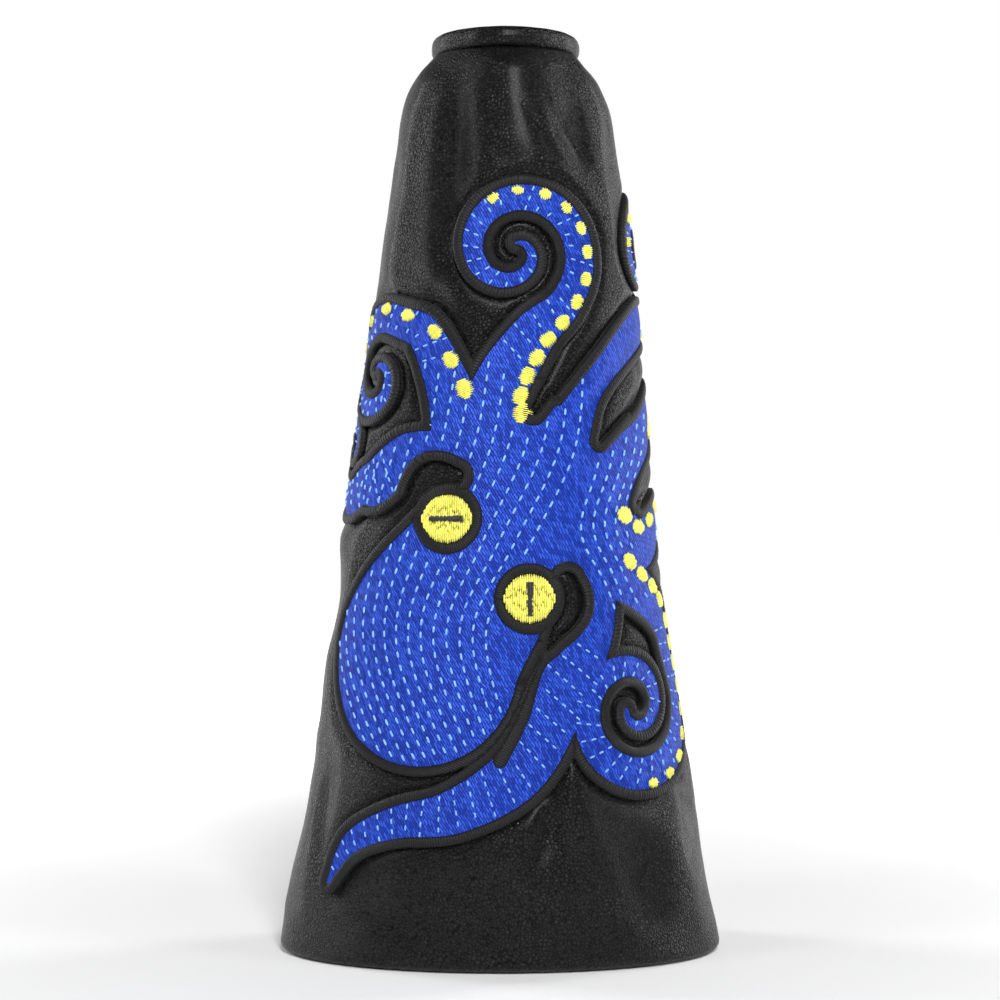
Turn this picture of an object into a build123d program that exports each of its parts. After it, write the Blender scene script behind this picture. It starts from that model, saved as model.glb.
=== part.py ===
"""Sleeve cover for a blade putter head: a tapered leather sleeve, closed at the toe end and open at the heel end.

The sleeve stands on its open heel end, toe end up. +Z runs up the sleeve, the embroidered front faces -Y and
the closure flap is at the back, +Y. The origin is the middle of the box round the whole cover, at the hem.
All sizes are in millimetres.
"""

from build123d import *

import math
import os

# ---------------------------------------------------------------- driving dimensions

SLEEVE_TOP = 166.2  # height where the side walls end and the toe ring starts
TOTAL_LENGTH = 170.0
AXIS_Y = -2.25  # the sleeve's own centre plane, forward of the origin because the flap adds depth at the back

# The sleeve's outer form: height, half width, half depth, sideways drift of the soft body.
SECTIONS = [
    (0.0, 41.4, 24.0, 0.0),
    (22.0, 36.9, 23.3, 0.0),
    (44.0, 33.3, 22.5, 0.0),
    (67.0, 30.1, 21.6, -0.4),
    (89.0, 27.7, 20.6, 0.1),
    (112.0, 25.2, 19.4, 0.8),
    (134.0, 22.7, 17.9, 1.4),
    (150.0, 20.3, 16.5, 1.1),
    (158.0, 18.5, 15.5, 1.0),
    (163.2, 16.0, 14.1, 1.0),
    (SLEEVE_TOP, 13.5, 12.6, 1.0),
]

# Layers of the wall, as growth outward from the leather's outer face.
LEATHER = 1.2
FOAM = 2.0
PLUSH = 1.8
LEATHER_IN = -LEATHER
FOAM_IN = LEATHER_IN - FOAM
WALL_IN = FOAM_IN - PLUSH

HEM_FACING_HEIGHT = 14.0

TOE_RING_RADIUS = 13.95
TOE_RING_WIDTH = 2.7
TOE_RING_ROUND = 1.25
TOE_CAP_THICKNESS = 1.3
TOE_X = 1.0

SIDE_SEAM_SHARE = 0.66  # where the side seams run at the back, as a share of the half width

SLIT_X_LOW, SLIT_X_HIGH = 8.0, 5.0  # the slit's middle at the hem and at its top
SLIT_TOP = 94.0
SLIT_HALF_LOW, SLIT_HALF_HIGH = 6.5, 3.2
SLIT_BINDING_SKIN = 0.5
SLIT_BINDING_EDGE = 0.9
SLIT_BINDING_WIDTH = 3.2
GUSSET_LOW = 68.0
GUSSET_OUT, GUSSET_IN = -2.2, -3.4

FLAP_LOW, FLAP_HIGH = 5.0, 92.0
FLAP_HIGH_AT_FREE_EDGE = 84.0
FLAP_FREE_X_LOW, FLAP_FREE_X_HIGH = -17.5, -14.5
FLAP_CORNER = 11.0
FLAP_LINING_IN, FLAP_LINING_OUT = 2.1, 2.9
FLAP_OUT = FLAP_LINING_OUT + LEATHER
FLAP_BINDING_WIDTH = 2.6
FLAP_BINDING_SKIN = 0.4
FLAP_BINDING_EDGE = 0.6
HINGE_SHARE = 0.60  # the flap's hinge line at the back, as a share of the half width
HINGE_GAP = 0.5
HINGE_STRIP_WIDTH = 4.5

LOOP_OUT = 0.9
HOOK_IN = 1.2
PATCH_X, PATCH_WIDTH = -7.0, 8.0
PATCH_LOW, PATCH_HIGH = 16.0, 76.0
PATCH_CORNER = 2.0

STITCH_LONG, STITCH_WIDE, STITCH_PITCH = 2.4, 0.6, 3.6
STITCH_PROUD = 0.35
SLIT_STITCH_INSET = 1.1
FLAP_STITCH_INSET = 1.7

# Embroidery on the front, as growth outward from the leather.
OUTLINE_OUT = 0.4
FILL_OUT = 0.8
SATIN_WIDTH = 1.6
FILL_BAND, MOTIF_TOP = 8, 144
THREAD_LIFT = 0.05
RAISED_OUT = 1.1
PUPIL_OUT = 1.4

EYE_RADIUS = 4.6
EYE_RING = 1.5
PUPIL_LONG, PUPIL_WIDE = 6.6, 1.3

# ---------------------------------------------------------------- the octopus motif, on the unrolled front panel
# Each limb is a row of (sideways from the front middle line, height, half width), followed by a smooth curve.


def coil(centre, radius, start_deg, turn_deg, half_width, count):
    """The coiled end of a limb: its reach and its half width both shrink as it turns."""
    points = []
    for step in range(count):
        along = step / (count - 1)
        angle = math.radians(start_deg + turn_deg * along)
        reach = radius * (0.16 + 0.84 * (1 - along) ** 1.15)
        slim = half_width * (1 - 0.80 * along)
        points.append(
            (
                centre[0] + reach * math.cos(angle),
                centre[1] + reach * math.sin(angle),
                slim,
            )
        )
    return points


MANTLE = [
    (-15.0, 54.5, 18.5),
    (-12.0, 60.0, 17.5),
    (-4.0, 70.0, 15.5),
    (4.0, 80.0, 15.0),
    (8.0, 87.0, 14.0),
]
LIMBS = {
    "crown": [(0.0, 90.0, 8.0), (-0.6, 102.5, 5.8), (5.0, 113.0, 4.4)]
    + coil((1.2, 128.2), 13.4, -46, 480, 3.4, 16),
    "left_high": [(-6.0, 91.0, 6.5), (-9.5, 103.0, 4.6), (-14.5, 113.0, 3.7)]
    + coil((-26.4, 106.5), 11.6, 52, 410, 3.3, 13),
    "left_low": [(-8.0, 90.0, 6.0), (-17.0, 91.5, 4.6), (-24.5, 87.0, 4.6)]
    + coil((-35.5, 93.5), 10.5, -42, -400, 3.8, 13),
    "right_high": [(12.0, 90.0, 8.0), (19.5, 103.0, 5.8), (29.0, 114.5, 4.6)]
    + coil((33.5, 129.5), 12.8, -72, 450, 3.5, 16),
    "right_mid": [(20.0, 86.0, 8.0), (29.0, 94.0, 4.6), (38.0, 101.0, 4.2)]
    + coil((46.5, 109.5), 9.8, -118, 400, 3.3, 13),
    "right_low": [(16.0, 79.0, 9.0), (28.0, 75.5, 5.2), (38.0, 80.0, 4.2)]
    + coil((47.0, 86.5), 8.6, -140, 400, 3.2, 13),
    "right_foot": [(14.0, 75.0, 8.0), (25.0, 69.5, 4.8), (34.5, 63.0, 4.2)]
    + coil((25.4, 46.4), 15.2, 34, -560, 3.9, 19),
    "front_foot": [
        (15.0, 70.0, 8.0),
        (16.0, 60.0, 5.6),
        (10.0, 47.0, 5.4),
        (3.0, 35.5, 5.2),
        (-8.0, 28.6, 4.2),
        (-19.0, 26.2, 3.1),
        (-28.0, 22.0, 2.2),
        (-33.0, 14.5, 0.7),
    ],
}
# Bare leather inside the motif: the sockets beside the eyes, the thin lines that part the mantle from its limbs,
# and the long drops between the upper limbs.
GAPS = [
    [
        (-8.0, 88.0, 3.0),
        (-13.0, 87.5, 4.4),
        (-18.0, 82.0, 2.4),
        (-23.5, 78.0, 0.9),
        (-30.0, 74.5, 0.9),
        (-38.0, 70.0, 0.9),
    ],
    [
        (12.5, 69.0, 3.4),
        (13.2, 64.5, 4.0),
        (9.5, 58.5, 2.2),
        (6.8, 54.0, 0.9),
        (3.8, 45.0, 0.9),
        (0.0, 37.5, 2.0),
    ],
    [(5.6, 99.5, 2.2), (9.0, 105.0, 2.7), (14.5, 112.0, 2.2), (18.5, 118.0, 0.9)],
    [(18.5, 94.5, 2.0), (22.5, 100.5, 4.0), (30.0, 106.5, 4.4), (40.0, 113.0, 2.0)],
    [(27.5, 83.0, 1.6), (31.0, 86.5, 2.8), (37.0, 91.5, 2.6), (42.0, 97.0, 0.9)],
]
EYES = [(-9.3, 80.4, 0.0), (5.6, 66.2, 90.0)]  # place, and the angle of the slit pupil
SUCKER_LARGE, SUCKER_SMALL = 1.75, 1.0
SUCKER_ROWS = {  # side of the limb, where along it the row starts and ends, and how many
    "crown": (-1, 0.10, 0.68, 14),
    "left_high": (-1, 0.16, 0.62, 7),
    "right_high": (-1, 0.40, 0.84, 10),
    "right_mid": (-1, 0.30, 0.76, 7),
    "right_low": (1, 0.12, 0.60, 6),
    "right_foot": (1, 0.10, 0.52, 13),
}

SUCKER_MARGIN = 0.4

# The running stitches flow down from the crown in lines that fan out between these two.
FLOW_LEFT = [(-24.0, 112.0), (-27.0, 95.0), (-33.0, 75.0), (-33.0, 55.0), (-22.0, 38.0)]
FLOW_RIGHT = [(24.0, 110.0), (24.0, 92.0), (10.0, 72.0), (4.0, 60.0), (1.0, 46.0)]
FLOW_LINES = 15
THREAD_WIDE, THREAD_PROUD = 0.45, 0.3

PATH_TURN = 76.0  # how far round the sides the limbs' middle lines are followed, in degrees from the front
EDGE_TURN = 80.0  # how far round their outlines may reach

BIG = 120.0  # larger than the cover, for cutting solids

# ---------------------------------------------------------------- the form


def section_at(height):
    """Half width, half depth and drift of the outer form at a height, in straight steps between the sections."""
    for low, high in zip(SECTIONS, SECTIONS[1:]):
        if height <= high[0]:
            share = (height - low[0]) / (high[0] - low[0])
            return [low[k] + share * (high[k] - low[k]) for k in (1, 2, 3)]
    return list(SECTIONS[-1][1:])


def form_point(turn_deg, height, growth=0.0):
    """A point of the outer form: turn_deg is 0 at the front middle line and 90 at the right side."""
    half_width, half_depth, drift = section_at(height)
    turn = math.radians(turn_deg)
    return Vector(
        drift + (half_width + growth) * math.sin(turn),
        AXIS_Y - (half_depth + growth) * math.cos(turn),
        height,
    )


def panel_turn(sideways, height):
    """The turn about the form, in degrees, of a point that lies that far sideways on the unrolled panel."""
    half_width, half_depth, _ = section_at(height)
    walked, turn, step = 0.0, 0.0, 1.0
    while walked < abs(sideways) and turn < 175.0:
        middle = math.radians(turn + step / 2)
        stride = math.hypot(half_width * math.cos(middle), half_depth * math.sin(middle)) * math.radians(step)
        share = min(1.0, (abs(sideways) - walked) / stride)
        walked += stride
        turn += step * share
    return math.copysign(turn, sideways)


def sleeve_form(growth):
    """The solid form inside the wall's face that lies growth outward from the leather's outer face."""
    with BuildPart() as form:
        for height, half_width, half_depth, drift in SECTIONS:
            with BuildSketch(Plane.XY.offset(height)):
                with Locations((drift, AXIS_Y)):
                    Ellipse(half_width + growth, half_depth + growth)
        loft()
    return form.part


FORMS = {}


def form_of(growth):
    """sleeve_form, kept so that each one is lofted once and neighbouring layers share their faces."""
    key = round(growth, 4)
    if key not in FORMS:
        FORMS[key] = sleeve_form(growth)
    return FORMS[key]


def skin(outer, inner):
    """The layer of the sleeve between two growths."""
    with BuildPart() as layer:
        add(form_of(outer))
        add(form_of(inner), mode=Mode.SUBTRACT)
    return layer.part


def slab(low, high):
    """Everything between two heights."""
    with BuildPart() as block:
        with BuildSketch(Plane.XY.offset(low)):
            Rectangle(2 * BIG, 2 * BIG)
        extrude(amount=high - low)
    return block.part


# Seen from the back, +Y: a sketch's x is X and its y is Z.
BACK_PLANE = Plane(origin=(0, AXIS_Y, 0), x_dir=(1, 0, 0), z_dir=(0, -1, 0))


def backward(sketch):
    """The prism of a sketch on BACK_PLANE, through everything behind the sleeve's centre plane."""
    with BuildPart() as prism:
        extrude(sketch, amount=BIG, dir=(0, 1, 0))
    return prism.part


def seam_x(side, height, share=SIDE_SEAM_SHARE):
    """Where a side seam runs at the back."""
    half_width, _, drift = section_at(height)
    return drift + side * share * half_width


def slit_x(height):
    """The middle of the slit, and of the back seam above it."""
    return SLIT_X_LOW + (SLIT_X_HIGH - SLIT_X_LOW) * height / SLIT_TOP


def back_zone():
    """The part of the back between the two side seams."""
    heights = [row[0] for row in SECTIONS]
    right = [(seam_x(1, height), height) for height in heights]
    left = [(seam_x(-1, height), height) for height in reversed(heights)]
    with BuildSketch(BACK_PLANE) as zone:
        with BuildLine():
            Polyline(*right, *left, close=True)
        make_face()
    return backward(zone.sketch)


def right_of_back_seam():
    """The part of the back on the flap's side of the back seam."""
    with BuildSketch(BACK_PLANE) as zone:
        with BuildLine():
            Polyline(
                (slit_x(-1), -1),
                (BIG, -1),
                (BIG, TOTAL_LENGTH),
                (slit_x(TOTAL_LENGTH), TOTAL_LENGTH),
                close=True,
            )
        make_face()
    return backward(zone.sketch)


def slit_sketch(margin):
    """The slit's outline, wider by a margin all round: straight sides, and a round top."""
    half_high = SLIT_HALF_HIGH + margin
    half_low = SLIT_HALF_LOW + margin
    low = -1.0
    with BuildSketch(BACK_PLANE) as outline:
        with BuildLine():
            Polyline(
                (slit_x(SLIT_TOP) + half_high, SLIT_TOP),
                (slit_x(low) + half_low, low),
                (slit_x(low) - half_low, low),
                (slit_x(SLIT_TOP) - half_high, SLIT_TOP),
            )
            ThreePointArc(
                (slit_x(SLIT_TOP) - half_high, SLIT_TOP),
                (slit_x(SLIT_TOP), SLIT_TOP + half_high),
                (slit_x(SLIT_TOP) + half_high, SLIT_TOP),
            )
        make_face()
    return outline.sketch


def slit_zone(margin):
    """The prism of the slit's outline."""
    return backward(slit_sketch(margin))


# ---------------------------------------------------------------- the sleeve's panels and layers

BACK = back_zone()
RIGHT = right_of_back_seam()
SLIT = slit_zone(0.0)


with BuildPart() as turned_hem:
    add(skin(LEATHER_IN, FOAM_IN))
    add(slab(0.0, LEATHER), mode=Mode.INTERSECT)

with BuildPart() as leather_tube:
    add(skin(0.0, LEATHER_IN))
    add(turned_hem.part)

LEATHER_TUBE = leather_tube.part
FOAM_TUBE = skin(LEATHER_IN, FOAM_IN) & slab(LEATHER, SLEEVE_TOP)
PLUSH_TUBE = skin(FOAM_IN, WALL_IN) & slab(HEM_FACING_HEIGHT, SLEEVE_TOP)

PIECES = {}


def keep(name, part):
    """Labels a finished piece and keeps it for export."""
    part.label = name
    PIECES[name] = part


with BuildPart() as front_shell:
    add(LEATHER_TUBE)
    add(BACK, mode=Mode.SUBTRACT)
keep("front_shell", front_shell.part)

with BuildPart() as back_left_shell:
    add(LEATHER_TUBE)
    add(BACK, mode=Mode.INTERSECT)
    add(RIGHT, mode=Mode.SUBTRACT)
    add(SLIT, mode=Mode.SUBTRACT)
keep("back_left_shell", back_left_shell.part)

with BuildPart() as back_right_shell:
    add(LEATHER_TUBE)
    add(BACK, mode=Mode.INTERSECT)
    add(RIGHT, mode=Mode.INTERSECT)
    add(SLIT, mode=Mode.SUBTRACT)
keep("back_right_shell", back_right_shell.part)

for layer_name, tube in (("foam", FOAM_TUBE), ("lining", PLUSH_TUBE)):
    with BuildPart() as front_layer:
        add(tube)
        add(BACK, mode=Mode.SUBTRACT)
    keep("front_" + layer_name, front_layer.part)
    with BuildPart() as back_layer:
        add(tube)
        add(BACK, mode=Mode.INTERSECT)
        add(SLIT, mode=Mode.SUBTRACT)
    keep("back_" + layer_name, back_layer.part)

with BuildPart() as hem_facing:
    add(skin(FOAM_IN, WALL_IN))
    add(slab(0.0, HEM_FACING_HEIGHT), mode=Mode.INTERSECT)
    add(SLIT, mode=Mode.SUBTRACT)
keep("hem_facing", hem_facing.part)

# ---------------------------------------------------------------- toe end

toe_axis = Axis((TOE_X, AXIS_Y, 0), (0, 0, 1))

with BuildPart() as toe_ring:
    with BuildSketch(Plane(origin=(TOE_X, AXIS_Y, SLEEVE_TOP), x_dir=(1, 0, 0), z_dir=(0, -1, 0))) as profile:
        with Locations((TOE_RING_RADIUS - TOE_RING_WIDTH, 0)):
            Rectangle(TOE_RING_WIDTH, TOTAL_LENGTH - SLEEVE_TOP, align=(Align.MIN, Align.MIN))
        fillet(profile.vertices(), TOE_RING_ROUND)
    revolve(axis=toe_axis)
keep("toe_ring", toe_ring.part)

with BuildPart() as toe_cap:
    cap_radius = TOE_RING_RADIUS - TOE_RING_WIDTH
    with BuildSketch(Plane.XY.offset(SLEEVE_TOP)):
        with Locations((TOE_X, AXIS_Y)):
            Circle(cap_radius)
    extrude(amount=TOE_CAP_THICKNESS)
    fillet(toe_cap.edges().filter_by(GeomType.CIRCLE).sort_by(Axis.Z)[-1], 0.6)
keep("toe_cap", toe_cap.part)

with BuildPart() as toe_lining:
    add(form_of(WALL_IN))
    add(slab(SLEEVE_TOP - PLUSH, SLEEVE_TOP), mode=Mode.INTERSECT)
keep("toe_lining", toe_lining.part)

# ---------------------------------------------------------------- slit, gusset and closure patches

WALL = skin(0.0, WALL_IN)

with BuildPart() as slit_wall:
    add(WALL)
    add(SLIT, mode=Mode.SUBTRACT)

with BuildPart() as slit_binding:
    add(skin(SLIT_BINDING_SKIN, WALL_IN - SLIT_BINDING_SKIN))
    add(slit_zone(SLIT_BINDING_WIDTH), mode=Mode.INTERSECT)
    add(slit_zone(-SLIT_BINDING_EDGE), mode=Mode.SUBTRACT)
    add(slit_wall.part, mode=Mode.SUBTRACT)
keep("slit_binding", slit_binding.part)

with BuildPart() as slit_gusset:
    add(skin(GUSSET_OUT, GUSSET_IN))
    add(slit_zone(-SLIT_BINDING_EDGE), mode=Mode.INTERSECT)
    add(slab(GUSSET_LOW, TOTAL_LENGTH), mode=Mode.INTERSECT)
keep("slit_gusset", slit_gusset.part)


def patch_zone():
    """The prism of the fastener patches."""
    with BuildSketch(BACK_PLANE) as zone:
        with Locations((PATCH_X, (PATCH_LOW + PATCH_HIGH) / 2)):
            RectangleRounded(PATCH_WIDTH, PATCH_HIGH - PATCH_LOW, PATCH_CORNER)
    return backward(zone.sketch)


with BuildPart() as loop_patch:
    add(skin(LOOP_OUT, 0.0))
    add(patch_zone(), mode=Mode.INTERSECT)
keep("loop_patch", loop_patch.part)

with BuildPart() as hook_patch:
    add(skin(FLAP_LINING_IN, HOOK_IN))
    add(patch_zone(), mode=Mode.INTERSECT)
keep("hook_patch", hook_patch.part)

# ---------------------------------------------------------------- closure flap


def hinge_x(height):
    """The flap's hinge line, straight between its two ends."""
    low_x, high_x = seam_x(1, FLAP_LOW, HINGE_SHARE), seam_x(1, FLAP_HIGH, HINGE_SHARE)
    return low_x + (high_x - low_x) * (height - FLAP_LOW) / (FLAP_HIGH - FLAP_LOW)


def flap_sketch(inset):
    """The flap's outline seen from the back, drawn in by an inset on its free sides."""
    low, high = FLAP_LOW + inset, FLAP_HIGH - inset
    with BuildSketch(BACK_PLANE) as outline:
        with BuildLine():
            Polyline(
                (hinge_x(low) - HINGE_GAP, low),
                (hinge_x(high) - HINGE_GAP, high),
                (FLAP_FREE_X_HIGH + inset, FLAP_HIGH_AT_FREE_EDGE - inset),
                (FLAP_FREE_X_LOW + inset, low),
                close=True,
            )
        make_face()
        free_corners = outline.vertices().sort_by(Axis.X)[:2]
        fillet(free_corners, FLAP_CORNER - inset)
    return outline.sketch


def flap_zone(inset):
    """The prism of the flap's outline."""
    return backward(flap_sketch(inset))


with BuildPart() as flap_shell:
    add(skin(FLAP_OUT, FLAP_LINING_OUT))
    add(flap_zone(FLAP_BINDING_EDGE), mode=Mode.INTERSECT)
keep("flap_shell", flap_shell.part)

with BuildPart() as flap_lining:
    add(skin(FLAP_LINING_OUT, FLAP_LINING_IN))
    add(flap_zone(FLAP_BINDING_EDGE), mode=Mode.INTERSECT)
keep("flap_lining", flap_lining.part)

with BuildPart() as flap_body:
    add(skin(FLAP_OUT, FLAP_LINING_IN))
    add(flap_zone(FLAP_BINDING_EDGE), mode=Mode.INTERSECT)

with BuildPart() as flap_binding:
    add(skin(FLAP_OUT + FLAP_BINDING_SKIN, FLAP_LINING_IN - FLAP_BINDING_SKIN))
    add(flap_zone(0.0), mode=Mode.INTERSECT)
    add(flap_zone(FLAP_BINDING_WIDTH), mode=Mode.SUBTRACT)
    add(flap_body.part, mode=Mode.SUBTRACT)
keep("flap_binding", flap_binding.part)

with BuildSketch(BACK_PLANE) as strip_outline:
    with BuildLine():
        Polyline(
            (hinge_x(FLAP_LOW) + HINGE_GAP, FLAP_LOW),
            (hinge_x(FLAP_LOW) + HINGE_STRIP_WIDTH, FLAP_LOW),
            (hinge_x(FLAP_HIGH) + HINGE_STRIP_WIDTH, FLAP_HIGH),
            (hinge_x(FLAP_HIGH) + HINGE_GAP, FLAP_HIGH),
            close=True,
        )
    make_face()

with BuildPart() as flap_hinge_strip:
    add(skin(FLAP_OUT, 0.0))
    add(backward(strip_outline.sketch), mode=Mode.INTERSECT)
keep("flap_hinge_strip", flap_hinge_strip.part)

# ---------------------------------------------------------------- embroidery


def smooth_path(knots, steps=2):
    """A Catmull-Rom curve through the knots, as (sideways, height, half width) points."""
    path = []
    last = len(knots) - 1
    for index in range(last):
        before, start = knots[max(index - 1, 0)], knots[index]
        end, after = knots[index + 1], knots[min(index + 2, last)]
        for step in range(steps):
            t = step / steps
            path.append(
                tuple(
                    0.5
                    * (
                        2 * start[k]
                        + (end[k] - before[k]) * t
                        + (2 * before[k] - 5 * start[k] + 4 * end[k] - after[k]) * t**2
                        + (3 * start[k] - before[k] - 3 * end[k] + after[k]) * t**3
                    )
                    for k in range(3)
                )
            )
    path.append(tuple(knots[-1]))
    return path


def front_view(sideways, height):
    """A point of the unrolled panel as seen from the front, drawn in to the edge where it lies beyond."""
    turn_deg = panel_turn(sideways, height)
    place = form_point(min(max(turn_deg, -EDGE_TURN), EDGE_TURN), height)
    return (place.X, height)


def stroke_runs(path, longest=5):
    """The stretches of a path near the front, in short overlapping runs that never lap over themselves."""
    runs, run = [], []
    for point in path:
        if abs(panel_turn(point[0], point[1])) <= PATH_TURN:
            run.append(point)
            if len(run) == longest:
                runs.append(run)
                run = run[-2:]
        else:
            if len(run) > 2:
                runs.append(run)
            run = []
    if len(run) > 2:
        runs.append(run)
    return runs


def turn_radius(before, here, after):
    """The radius of the bend through three path points, positive where it turns left."""
    one = (here[0] - before[0], here[1] - before[1])
    two = (after[0] - here[0], after[1] - here[1])
    cross = one[0] * two[1] - one[1] * two[0]
    if abs(cross) < 1e-6:
        return BIG
    return math.hypot(*one) * math.hypot(*two) * math.dist(before[:2], after[:2]) / (2 * cross)


def round_end(start, tip, end):
    """An arc over the end of a stroke, or a straight line where its three points are all but in line."""
    rise = (tip[0] - start[0]) * (end[1] - start[1]) - (tip[1] - start[1]) * (end[0] - start[0])
    if abs(rise) > 0.02 * math.dist(start, end) ** 2:
        ThreePointArc(start, tip, end)
    else:
        Line(start, end)


def stroke_face(run, growth):
    """The face of one run: a smooth side, a round end, the other side and a round start."""
    sides = {1: [], -1: []}
    tips = []
    last = len(run) - 1
    for index, (sideways, height, half_width) in enumerate(run):
        before, after = run[max(index - 1, 0)], run[min(index + 1, last)]
        length = math.dist(before[:2], after[:2])
        along = ((after[0] - before[0]) / length, (after[1] - before[1]) / length)
        middle = min(max(index, 1), last - 1)
        bend = turn_radius(run[middle - 1], run[middle], run[middle + 1])
        reach = max(half_width + growth, 0.35)
        for side in sides:
            inner = min(reach, 0.85 * abs(bend)) if side * bend > 0 else reach
            sides[side].append(front_view(sideways - side * inner * along[1], height + side * inner * along[0]))
        if index in (0, last):
            sign = -1 if index == 0 else 1
            tips.append(front_view(sideways + sign * reach * along[0], height + sign * reach * along[1]))
    with BuildSketch(Plane.XY, mode=Mode.PRIVATE) as face:
        with BuildLine():
            Spline(*sides[1])
            round_end(sides[1][-1], tips[1], sides[-1][-1])
            Spline(*reversed(sides[-1]))
            round_end(sides[-1][0], tips[0], sides[1][0])
        make_face()
    return face.sketch_local


def motif_prism(growth):
    """The motif grown by a margin, the mantle and limbs less the bare gaps, as a prism out of the front."""
    with BuildSketch(BACK_PLANE) as motif:
        for knots in [MANTLE, *LIMBS.values()]:
            for run in stroke_runs(smooth_path(knots)):
                add(stroke_face(run, growth))
        for knots in GAPS:
            for run in stroke_runs(smooth_path(knots)):
                if min(point[2] for point in run) > growth + 0.4:
                    add(stroke_face(run, -growth), mode=Mode.SUBTRACT)
    with BuildPart() as prism:
        extrude(motif.sketch, amount=BIG, dir=(0, -1, 0))
    return prism.part


def form_hit(start, direction, growth):
    """Where a ray leaves a grown form, and the form's outward normal there."""
    hits = form_of(growth).find_intersection_points(Axis(start, direction))
    place, normal = max(hits, key=lambda hit: (hit[0] - start).dot(direction))
    return place, normal if normal.dot(direction) > 0 else -normal


def surface_plane(hit, heading=(1.0, 0.0)):
    """A plane that lies on the form at a hit, its x along a heading given as (level, upward)."""
    place, normal = hit
    level = Vector(0, 0, 1).cross(normal).normalized()
    upward = normal.cross(level)
    return Plane(origin=place, x_dir=level * heading[0] + upward * heading[1], z_dir=normal)


def panel_plane(sideways, height, growth=0.0, heading=(1.0, 0.0)):
    """surface_plane over a point of the unrolled front panel."""
    turn = math.radians(panel_turn(sideways, height))
    start = Vector(section_at(height)[2], AXIS_Y, height)
    return surface_plane(form_hit(start, Vector(math.sin(turn), -math.cos(turn), 0), growth), heading)


def pegs(places, margin=0.0):
    """Round prisms that stand square to the sleeve at (sideways, height, radius) places."""
    with BuildPart() as block:
        for sideways, height, radius in places:
            with BuildSketch(panel_plane(sideways, height)):
                Circle(radius + margin)
        extrude(amount=2.5, both=True)
    return block.part


def along_limb(name, share):
    """The point (sideways, height, half width) at a share of a limb's length, and its heading."""
    path = smooth_path(LIMBS[name])
    lengths = [math.dist(start[:2], end[:2]) for start, end in zip(path, path[1:])]
    left = share * sum(lengths)
    for start, end, length in zip(path, path[1:], lengths):
        if left <= length:
            break
        left -= length
    part_way = min(1.0, left / length)
    point = [start[k] + (end[k] - start[k]) * part_way for k in range(3)]
    return point, ((end[0] - start[0]) / length, (end[1] - start[1]) / length)


def sucker_places():
    """Every sucker as (sideways, height, radius), in rows along the limbs' edges."""
    places = []
    for name, (side, start, end, count) in SUCKER_ROWS.items():
        for step in range(count):
            share = step / (count - 1)
            point, heading = along_limb(name, start + (end - start) * share)
            radius = min(SUCKER_LARGE + (SUCKER_SMALL - SUCKER_LARGE) * share, 0.42 * point[2])
            reach = side * (point[2] - radius - SUCKER_MARGIN)
            places.append((point[0] - reach * heading[1], point[1] + reach * heading[0], radius))
    return places


def stroke_depth(strokes, sideways, height):
    """How far inside the nearest of some strokes a panel point lies, negative outside them all."""
    points = [point for knots in strokes for point in smooth_path(knots)]
    return max(half_width - math.dist((sideways, height), (x, z)) for x, z, half_width in points)


def fill_depth(sideways, height):
    """How far inside the bare fill a panel point lies, clear of gaps, eyes and suckers."""
    depth = stroke_depth([MANTLE, *LIMBS.values()], sideways, height)
    depth = min(depth, -SATIN_WIDTH - stroke_depth(GAPS, sideways, height))
    for x, z, _ in EYES:
        depth = min(depth, math.dist((sideways, height), (x, z)) - EYE_RADIUS - EYE_RING)
    for x, z, radius in SUCKERS:
        depth = min(depth, math.dist((sideways, height), (x, z)) - radius)
    return depth


def running_stitch_planes():
    """A plane for each running stitch, in lines that fan out between the two flow lines."""
    planes = []
    for line in range(FLOW_LINES):
        share = line / (FLOW_LINES - 1)
        knots = []
        for left, right in zip(FLOW_LEFT, FLOW_RIGHT):
            knots.append((left[0] + (right[0] - left[0]) * share, left[1] + (right[1] - left[1]) * share, 0.0))
        planes += stitch_planes(smooth_path(knots, steps=30), line % 2 * STITCH_PITCH / 2)
    return planes


def stitch_planes(path, walked):
    """A plane at every pitch of a path, where a whole stitch lies on the bare fill."""
    planes = []
    for start, end in zip(path, path[1:]):
        length = math.dist(start[:2], end[:2])
        walked += length
        if walked < STITCH_PITCH:
            continue
        walked -= STITCH_PITCH
        heading = ((end[0] - start[0]) / length, (end[1] - start[1]) / length)
        ends = [
            (end[0] + reach * heading[0], end[1] + reach * heading[1])
            for reach in (-STITCH_LONG / 2, STITCH_LONG / 2)
        ]
        if min(fill_depth(*point) for point in ends) > THREAD_WIDE:
            planes.append(panel_plane(end[0], end[1], FILL_OUT + THREAD_LIFT, heading))
    return planes


def back_rows(edges, growth):
    """A plane for each stitch along some edges of a sketch on the back."""
    planes = []
    for edge in edges:
        count = max(1, round(edge.length / STITCH_PITCH))
        for step in range(count):
            share = (step + 0.5) / count
            place, along = edge @ share, edge % share
            if place.Z > STITCH_LONG:
                hit = form_hit(Vector(place.X, AXIS_Y, place.Z), Vector(0, 1, 0), growth)
                planes.append(surface_plane(hit, (-along.X, along.Z)))
    return planes


EYE_PLACES = [(sideways, height, EYE_RADIUS) for sideways, height, _ in EYES]
SUCKERS = sucker_places()
EYE_PEGS = pegs(EYE_PLACES)
RING_PEGS = pegs(EYE_PLACES, EYE_RING)


# The black stitches are one layer: they show as the outline, and run on under the fill as its underlay.
with BuildPart() as embroidery_outline:
    add(skin(OUTLINE_OUT, 0.0))
    add(motif_prism(SATIN_WIDTH), mode=Mode.INTERSECT)
    add(RING_PEGS, mode=Mode.SUBTRACT)
keep("embroidery_outline", embroidery_outline.part)

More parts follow.
